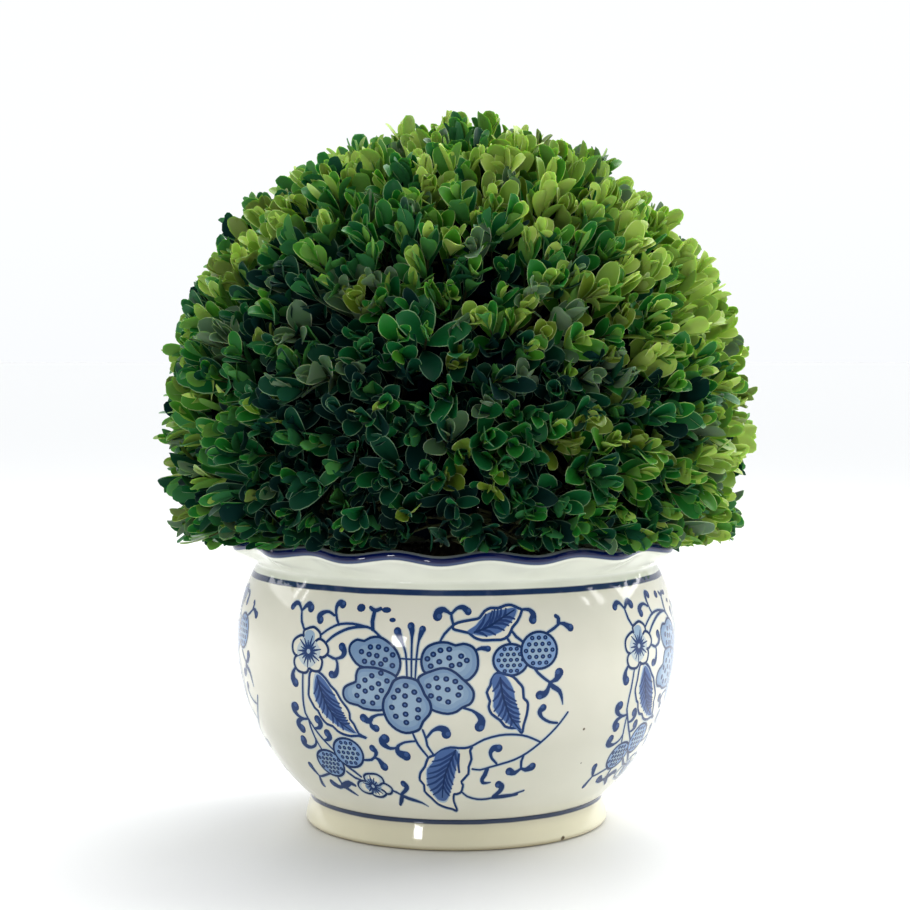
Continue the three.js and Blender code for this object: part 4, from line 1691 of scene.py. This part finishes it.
@dataclass
class Foliage:
    """The ball of leaves and the wood that carries them, grown from the stem by a seeded rule."""

    crown: Crown
    stem: Stem
    seed: int = 41
    # Shoots: how many on a whole sphere or circle, and where their tips are.
    shoots_on_sphere: int = 1500
    inner_shoots_on_sphere: int = 470
    tip_depth: Place = (10.5, 22.0)
    inner_depth: Place = (20.0, 34.0)
    tip_clearance: float = 4.0
    edge_shoots: int = 120
    edge_radii: Place = (112.0, 127.0)
    edge_heights: Place = (2.0, 9.0)
    side_drop: float = 5.0
    # Leaves inside, near-black navy as painted shade.
    core_leaves: int = 2600
    core_depth: Place = (42.0, 70.0)
    core_clearance: float = 16.0
    low_core_leaves: int = 110
    low_core_radii: Place = (50.0, 76.0)
    low_core_heights: Place = (9.0, 20.0)
    # Leaves on a shoot, from its tip down. Angles are in degrees, strays are standard deviations.
    leaf_angles: tuple[float, ...] = (7.0, 15.0, 23.0, 31.0)
    angle_stray: float = 10.0
    turn_stray: float = 0.45
    roll_stray: float = 0.55
    pair_sizes: tuple[float, ...] = (0.62, 0.84, 0.96, 1.0)
    leaf_sizes: Place = (0.76, 1.14)
    leaf_widths: Place = (0.88, 1.14)
    # Painted light and shade, dealt out as leaf tints: brighter to the right, behind and above, on a
    # painted sunlit patch, and in patches.
    base_light: float = 0.255
    side_light: Point = (0.175, 0.66, 0.185)
    most_behind: float = 0.52
    sunny_side: Point = (0.26, -0.80, 0.54)
    sunny_light: float = 0.1
    patch_light: float = 0.12
    patch_scale: float = 3.2
    patch_offset: Point = (34.2, 32.8, 16.2)
    stray_bright: float = 0.03
    stray_gain: float = 0.4
    # Wood.
    bough_count: int = 14
    bough_reach: float = 0.42
    bough_radii: Place = (4.2, 2.6)
    bough_clearance: float = 14.0
    bark_relief: float = 0.5
    branches_per_bough: int = 5
    branch_reach: float = 0.66
    branch_radii: Place = (2.4, 1.3)
    branch_clearance: float = 9.0
    twig_radii: Place = (1.1, 0.8)
    twig_end: float = 0.5
    shapes: tuple[LeafShape, ...] = (
        LeafShape(0.20, 0.10, 0.0, 0.2, 0.02),
        LeafShape(0.34, 0.18, 0.3, 0.21, 0.0),
        LeafShape(0.12, -0.14, -0.25, 0.185, 0.02),
        LeafShape(0.46, 0.05, 0.15, 0.2, 0.0),
        LeafShape(0.26, 0.26, -0.4, 0.225, 0.0),
        LeafShape(0.16, 0.2, 0.6, 0.175, 0.0),
        LeafShape(0.56, 0.12, -0.15, 0.21, 0.0),
        LeafShape(0.30, -0.2, 0.45, 0.185, 0.02),
    )

    def directions(self, count: int, rng: Random) -> list[Vector]:
        """Spreads directions evenly over a sphere, each moved a little.

        Args:
            count: The number of directions.
            rng: The seeded source.

        Returns:
            Unit vectors.
        """
        golden = math.pi * (3 - math.sqrt(5))
        stray = 1.1 / math.sqrt(count)
        spread = []
        for index in range(count):
            height = 1 - 2 * (index + 0.5) / count
            flat = math.sqrt(1 - height**2)
            angle = golden * index
            direction = Vector((flat * math.cos(angle), flat * math.sin(angle), height))
            moved = direction + Vector([rng.gauss(0, stray) for _ in range(3)])
            spread.append(moved.normalized())
        return spread

    def brightness(self, direction: Vector, rng: Random) -> float:
        """Says how bright the spray's leaves are painted, from 0 to 1, as painted light and shade.

        Args:
            direction: Where the spray is on the ball.
            rng: The seeded source.

        Returns:
            The brightness.
        """
        right, behind, upward = self.side_light
        mean = (
            self.base_light
            + behind * min(self.most_behind, 1 + direction.y)
            + upward * direction.z
            + right * direction.x
        )
        # A painted sunlit patch at the front, to the right and up.
        mean += self.sunny_light * smooth_step(0.75, 1.0, direction.dot(Vector(self.sunny_side)))
        patch = self.patch_light * noise.noise(direction * self.patch_scale + Vector(self.patch_offset))
        return mean + patch + rng.gauss(0, 0.06 + 0.16 * mean)

    def make_shoots(self, rng: Random) -> list[Shoot]:
        """Places the shoots: an outer layer, an inner layer with darker tints as painted shade, and a
        fringe along the lower edge, its tints also darkened as painted shade.
        """
        crown = self.crown
        shoots = []
        up = Vector((0.0, 0.0, 1.0))
        # The inner layer's tints are dimmed as painted shade deep in the ball.
        layers = (
            (self.shoots_on_sphere, self.tip_depth, 4, 0.0),
            (self.inner_shoots_on_sphere, self.inner_depth, 3, -0.45),
        )
        for count, depth, pairs, dimming in layers:
            for direction in self.directions(count, rng):
                tip = crown.at_depth(direction, rng.uniform(*depth))
                if tip.z < crown.base + self.tip_clearance:
                    continue
                stray = Vector([rng.gauss(0, 0.18) for _ in range(3)])
                heading = (direction + 0.12 * up + stray).normalized()
                light = self.brightness(direction, rng) + dimming
                size = rng.uniform(0.84, 1.1) * (1.1 if dimming else 1.0)
                shoots.append(Shoot(tip, heading, rng.uniform(0, math.pi), pairs, light, size))
        for index in range(self.edge_shoots):
            angle = (index + rng.uniform(-0.4, 0.4)) * 2 * math.pi / self.edge_shoots
            out = Vector((math.cos(angle), math.sin(angle), 0.0))
            tip = out * rng.uniform(*self.edge_radii)
            tip.z = crown.base + rng.uniform(*self.edge_heights) - self.side_drop * out.x**2
            stray = Vector((rng.gauss(0, 0.2), rng.gauss(0, 0.2), rng.uniform(-0.5, 0.1)))
            heading = (out + stray).normalized()
            # The fringe's tints are darkened as painted shade under the ball.
            light = self.brightness(out, rng) - 0.15
            shoots.append(Shoot(tip, heading, rng.uniform(0, math.pi), 3, light, 0.95))
        return shoots

    def leaves_of(self, shoot: Shoot, rng: Random) -> list[tuple[str, LeafPlace]]:
        """Places the leaves of one shoot and deals out their tints.

        Args:
            shoot: The shoot that carries them.
            rng: The seeded source.

        Returns:
            Each leaf's tint and place. Leaves that would cut the rim are left out.
        """
        side = shoot.heading.orthogonal().normalized()
        other = shoot.heading.cross(side)
        placed = []
        odd = rng.random()
        for pair in range(shoot.pairs):
            node = shoot.tip - shoot.heading * (pair * shoot.spacing)
            for half in (0, 1):
                turn = shoot.turn + pair * math.pi / 2 + half * math.pi + rng.gauss(0, self.turn_stray)
                out = side * math.cos(turn) + other * math.sin(turn)
                angle = math.radians(self.leaf_angles[pair] + rng.gauss(0, self.angle_stray))
                along = (out * math.sin(angle) + shoot.heading * math.cos(angle)).normalized()
                face = (shoot.heading * math.sin(angle) - out * math.cos(angle)).normalized()
                face = Matrix.Rotation(rng.gauss(0, self.roll_stray), 3, along) @ face
                across = along.cross(face)
                size = shoot.size * self.pair_sizes[pair] * rng.uniform(*self.leaf_sizes)
                length = size * self.shapes[0].length
                spots = [node + along * length * s for s in (0.4, 0.75, 1.0)]
                spots += [node + along * length * 0.6 + across * length * w for w in (-0.3, 0.3)]
                if not all(self.crown.is_clear(spot) for spot in spots):
                    continue
                frame_of_leaf = Matrix((across, along, face)).transposed()
                # Painted light and shade: the tip pair lighter and the pairs further down darker; now and
                # then a leaf is much brighter at random.
                light = shoot.light + (0.1 if pair == 0 else -0.05 * (pair - 1)) + rng.gauss(0, 0.08)
                if rng.random() < self.stray_bright:
                    light += self.stray_gain
                tint = self.tint_of(light, odd)
                variant = rng.randrange(len(self.shapes))
                placed.append((tint, LeafPlace(node, tuple(frame_of_leaf.to_euler()), size, variant)))
        return placed

    def core(self, rng: Random) -> list[LeafPlace]:
        """Scatters leaves deep in the ball, so that no light comes through it. Their near-black colour is
        painted shade.

        Args:
            rng: The seeded source.

        Returns:
            The places of the leaves.
        """
        places = []
        for direction in self.directions(self.core_leaves, rng):
            point = self.crown.at_depth(direction, rng.uniform(*self.core_depth))
            if point.z < self.crown.base + self.core_clearance:
                continue
            euler = tuple(rng.uniform(0, 2 * math.pi) for _ in range(3))
            places.append(LeafPlace(point, euler, rng.uniform(1.0, 1.3), 0))
        for index in range(self.low_core_leaves):
            angle = 2 * math.pi * index / self.low_core_leaves
            point = Vector((math.cos(angle), math.sin(angle), 0.0)) * rng.uniform(*self.low_core_radii)
            point.z = self.crown.base + rng.uniform(*self.low_core_heights)
            euler = (rng.uniform(-0.3, 0.3), rng.uniform(1.1, 2.0), rng.uniform(0, 2 * math.pi))
            places.append(LeafPlace(point, euler, rng.uniform(1.0, 1.2), 0))
        return places

    def tint_of(self, light: float, odd: float) -> str:
        """Chooses a tint by the painted light, and now and then an odd one for a whole spray."""
        for name, start, end, least in ODD_TINTS:
            if start < odd < end and light > least:
                return name
        step = int(max(0.0, min(0.999, light)) * len(BRIGHT_ORDER))
        return BRIGHT_ORDER[step]

    def build_leaves(
        self, name: str, shapes: Sequence[LeafShape], leaves: Sequence[LeafPlace], tint: LeafTint
    ) -> None:
        """Makes the leaves of one tint as one joined piece.

        Args:
            name: The piece's name.
            shapes: The shapes that the leaves choose from.
            leaves: Where the leaves sit.
            tint: Their colours.
        """
        variants = bpy.data.collections.new("leaf_shapes")
        for index, shape in enumerate(shapes):
            variants.objects.link(shape.build(f"leaf_shape_{index}"))
        piece = mesh_object(name, [leaf.point for leaf in leaves], [])
        set_attribute(piece.data, "turn", "FLOAT_VECTOR", "POINT", [leaf.euler for leaf in leaves])
        set_attribute(piece.data, "size", "FLOAT", "POINT", [leaf.size for leaf in leaves])
        set_attribute(piece.data, "variant", "INT", "POINT", [leaf.variant for leaf in leaves])
        recipe = Recipe(f"sprays_of_{name}")
        choice = recipe.given("Leaf shapes", "NodeSocketCollection", variants)
        seed = recipe.given("Seed", "NodeSocketInt", self.seed)
        least = recipe.given("Least width", "NodeSocketFloat", self.leaf_widths[0])
        most = recipe.given("Most width", "NodeSocketFloat", self.leaf_widths[1])
        separate = {"Collection": choice, "Separate Children": True, "Reset Children": True}
        source = recipe.node("GeometryNodeCollectionInfo", separate)
        width = recipe.node("FunctionNodeRandomValue", {2: least, 3: most, 8: seed}, data_type="FLOAT")
        size = recipe.attribute("size", "FLOAT")
        broad = recipe.maths("MULTIPLY", size, width.outputs[1])
        scale = recipe.node("ShaderNodeCombineXYZ", {0: broad, 1: size, 2: size})
        picked = {"Pick Instance": True, "Instance Index": recipe.attribute("variant", "INT")}
        turn = recipe.attribute("turn", "FLOAT_VECTOR")
        grown = recipe.copies(recipe.geometry, source.outputs[0], turn, Scale=scale.outputs[0], **picked)
        recipe.run(piece, grown, tint.finishes())
        wear(piece, Slot.LEAVES, "leaf_ball")
        for leaf in list(variants.objects):
            bpy.data.objects.remove(leaf)
        bpy.data.collections.remove(variants)

    def build_wood(
        self, name: str, limbs: Sequence[Limb], sides: int, relief: float, wood: Material
    ) -> None:
        """Makes limbs as joined tapering tubes with closed ends.

        Args:
            name: The piece's name.
            limbs: The limbs.
            sides: The number of sides of each tube.
            relief: The depth of the bark's unevenness, in millimetres.
            wood: The material.
        """
        points, radii, edges = [], [], []
        for limb in limbs:
            start = len(points)
            points.extend(limb.points)
            radii.extend(limb.radii)
            edges.extend((start + step, start + step + 1) for step in range(len(limb.points) - 1))
        piece = mesh_object(name, points, [], edges)
        set_attribute(piece.data, "thickness", "FLOAT", "POINT", np.array(radii) * MM)
        recipe = Recipe(f"{name}_tubes")
        count = recipe.given("Sides", "NodeSocketInt", sides)
        depth = recipe.given("Bark relief", "NodeSocketFloat", relief * MM)
        thickness = recipe.attribute("thickness", "FLOAT")
        line = recipe.node("GeometryNodeMeshToCurve", {"Mesh": recipe.geometry}).outputs[0]
        ring = recipe.node("GeometryNodeCurvePrimitiveCircle", {"Resolution": count, "Radius": 1.0})
        swept = {"Curve": line, "Profile Curve": ring.outputs[0], "Scale": thickness, "Fill Caps": True}
        tube = recipe.node("GeometryNodeCurveToMesh", swept)
        rough = recipe.node("ShaderNodeTexNoise", {"Scale": 420.0, "Detail": 2.0})
        raised = recipe.maths("MULTIPLY", recipe.maths("SUBTRACT", rough.outputs["Fac"], 0.5), depth)
        outward = {0: recipe.node("GeometryNodeInputNormal").outputs[0], "Scale": raised}
        offset = recipe.node("ShaderNodeVectorMath", outward, operation="SCALE")
        moved = {"Geometry": tube.outputs[0], "Offset": offset.outputs["Vector"]}
        barked = recipe.node("GeometryNodeSetPosition", moved).outputs[0]
        recipe.run(piece, barked, [wood])
        wear(piece, Slot.BARK, "leaf_ball")

    def grow_wood(self, shoots: Sequence[Shoot], rng: Random) -> tuple[list[Limb], list[Limb]]:
        """Grows boughs from the stem, branches from the boughs and a twig to each shoot.

        Args:
            shoots: The shoots that the twigs end in.
            rng: The seeded source.

        Returns:
            The boughs with their branches, and the twigs with their shoots.
        """
        crown = self.crown
        limbs, ends, twigs = [], [], []
        for index, direction in enumerate(self.directions(self.bough_count, rng)):
            share = 0.55 + 0.45 * (1 - index / self.bough_count)
            start = self.stem.centre(share)
            aim = (direction + Vector((0.0, 0.0, 0.12))).normalized()
            end = crown.within(aim, self.bough_reach, self.bough_clearance)
            leave = (aim + Vector((0.0, 0.0, 0.9))).normalized()
            bough = grow_limb(start, leave, end, self.bough_radii, 8, rng)
            limbs.append(bough)
            for spread in self.directions(self.branches_per_bough, rng):
                lead = (aim + 0.75 * spread).normalized()
                goal = crown.within(lead, self.branch_reach, self.branch_clearance)
                branch = grow_limb(bough.tip, bough.heading, goal, self.branch_radii, 6, rng)
                limbs.append(branch)
                ends.append(branch)
        for shoot in shoots:
            parent = min(ends, key=lambda limb: (limb.tip - shoot.foot).length)
            twig = grow_limb(parent.tip, parent.heading, shoot.foot, self.twig_radii, 3, rng)
            twigs.append(Limb(twig.points + [shoot.tip], twig.radii + [self.twig_end]))
        return limbs, twigs

    def build(self, bark: Material) -> None:
        """Grows the wood and the leaves of the whole ball.

        Args:
            bark: The material of the boughs.
        """
        rng = Random(self.seed)
        shoots = self.make_shoots(rng)
        limbs, twigs = self.grow_wood(shoots, rng)
        self.build_wood("boughs", limbs, 10, self.bark_relief, bark)
        green_wood = PlainFinish("twig_bark", (62, 66, 36), 0.7, 0.3).make()
        self.build_wood("twigs", twigs, 5, 0.0, green_wood)
        places: dict[str, list[LeafPlace]] = {tint.name: [] for tint in TINTS}
        for shoot in shoots:
            for tint_name, leaf in self.leaves_of(shoot, rng):
                places[tint_name].append(leaf)
        log.info("%d shoots with %d leaves", len(shoots), sum(map(len, places.values())))
        for tint in TINTS:
            self.build_leaves(f"leaves_{tint.name}", self.shapes, places[tint.name], tint)
        self.build_leaves("leaves_core", (CORE_LEAF,), self.core(rng), CORE_TINT)


# Each soft light's name, place, aim and size in metres, and power in watts.
LIGHTS = (
    ("top_light", (0.3, 0.6, 1.6), (0.0, 0.1, 0.2), (1.2, 0.9), 18.5),
    ("right_back_light", (1.3, 0.7, 1.0), (0.0, 0.0, 0.25), (1.0, 0.9), 16.0),
    ("left_back_light", (-1.4, 0.6, 0.9), (0.0, 0.0, 0.25), (0.9, 0.8), 5.0),
    ("left_window", (-1.41, 0.04, 0.78), (-0.07, -0.07, 0.12), (0.05, 0.34), 0.35),
    ("left_window_side", (-1.39, 0.2, 0.78), (-0.07, -0.07, 0.12), (0.04, 0.34), 0.25),
    ("right_window", (1.31, -0.34, 0.89), (0.06, -0.08, 0.12), (0.04, 0.4), 0.6),
    ("right_window_side", (1.37, -0.12, 0.84), (0.06, -0.08, 0.12), (0.12, 0.4), 0.8),
    ("right_front_light", (1.1, -1.3, 0.5), (0.0, -0.05, 0.1), (1.2, 0.9), 0.6),
    ("lamp", (-0.61, -1.14, 0.29), (0.0, -0.1, 0.1), (0.15, 0.15), 1.6),
)


@dataclass
class Studio:
    """The camera, a pale floor and soft lights."""

    camera_place: Point = (-0.73, -1006.35, 230.9)
    camera_pitch: float = math.radians(2.92)
    lens: float = 80.8
    sensor: float = 36.0
    floor_size: float = 80000.0
    floor_height: float = -0.05
    floor_colour: Colour = (226, 226, 224)
    sky_colour: Colour = (250, 252, 255)
    back_strength: float = 1.04
    room_strength: float = 0.5
    left_dimming: float = 0.66
    top_strength: float = 2.0
    floor_glow: float = 0.97

    def build_camera(self) -> None:
        """Sets the camera where the photograph was taken from."""
        data = bpy.data.cameras.new("camera")
        data.lens = self.lens
        data.sensor_width = self.sensor
        camera = bpy.data.objects.new("camera", data)
        camera.location = Vector(self.camera_place) * MM
        camera.rotation_euler = (math.pi / 2 - self.camera_pitch, 0.0, 0.0)
        bpy.context.scene.collection.objects.link(camera)
        bpy.context.scene.camera = camera

    def soft_light(self, name: str, place: Point, aim: Point, size: Place, power: float) -> None:
        """Adds one rectangular light.

        Args:
            name: The light's name.
            place: Where it stands, in metres.
            aim: The point that it faces, in metres.
            size: Its width and height, in metres.
            power: Its power, in watts.
        """
        data = bpy.data.lights.new(name, "AREA")
        data.shape = "RECTANGLE"
        data.size, data.size_y = size
        data.energy = power
        light = bpy.data.objects.new(name, data)
        light.location = place
        light.rotation_euler = (Vector(aim) - Vector(place)).to_track_quat("-Z", "Y").to_euler()
        bpy.context.scene.collection.objects.link(light)

    def build(self) -> None:
        """Makes the camera, the floor, the sky and the lights."""
        self.build_camera()
        half = self.floor_size / 2
        signs = ((-1, -1), (1, -1), (1, 1), (-1, 1))
        corners = [(x * half, y * half, self.floor_height) for x, y in signs]
        floor = mesh_object("floor", corners, [(0, 1, 2, 3)])
        floor.data.materials.append(PlainFinish("floor_paper", self.floor_colour, 0.5, 0.5).make())
        world = bpy.data.worlds.new("studio_sky")
        world.use_nodes = True
        background = world.node_tree.nodes["Background"]
        graph = NodeGraph(world.node_tree)
        direction = graph.node("ShaderNodeTexCoord").outputs["Generated"]
        east, north, up = graph.node("ShaderNodeSeparateXYZ", {"Vector": direction}).outputs
        room = graph.remap(north, -0.7, -0.1, self.room_strength, self.back_strength)
        overhead = graph.remap(graph.maths("MULTIPLY_ADD", north, 0.5, up), 0.72, 0.97)
        strength = graph.node("ShaderNodeMix", {0: overhead, 2: room, 3: self.top_strength})
        left = graph.remap(east, -0.75, -0.3, self.left_dimming, 1.0)
        haze = graph.remap(up, 0.0, 0.09, self.floor_glow, 1.0)
        dimmed = graph.maths("MULTIPLY", strength.outputs[0], left)
        background.inputs["Color"].default_value = linear(self.sky_colour)
        graph.link(graph.maths("MULTIPLY", dimmed, haze), background.inputs["Strength"])
        bpy.context.scene.world = world
        bpy.context.scene.view_settings.view_transform = "Standard"
        for light in LIGHTS:
            self.soft_light(*light)


def main() -> None:
    """Builds the studio, the pot and the plant in order."""
    Studio().build()
    pot = GlazedPot()
    pot.build()
    PaintedPanels(pot).build()
    Soil(pot).build()
    bark = EarthFinish("box_bark", (40, 32, 24), (104, 92, 70), 320.0, (1.0, 1.0, 0.25), 0.4).make()
    stem = Stem()
    stem.build(bark)
    Foliage(Crown(), stem).build(bark)


if __name__ == "__main__":
    logging.basicConfig(level=logging.INFO, format="%(message)s")
    main()
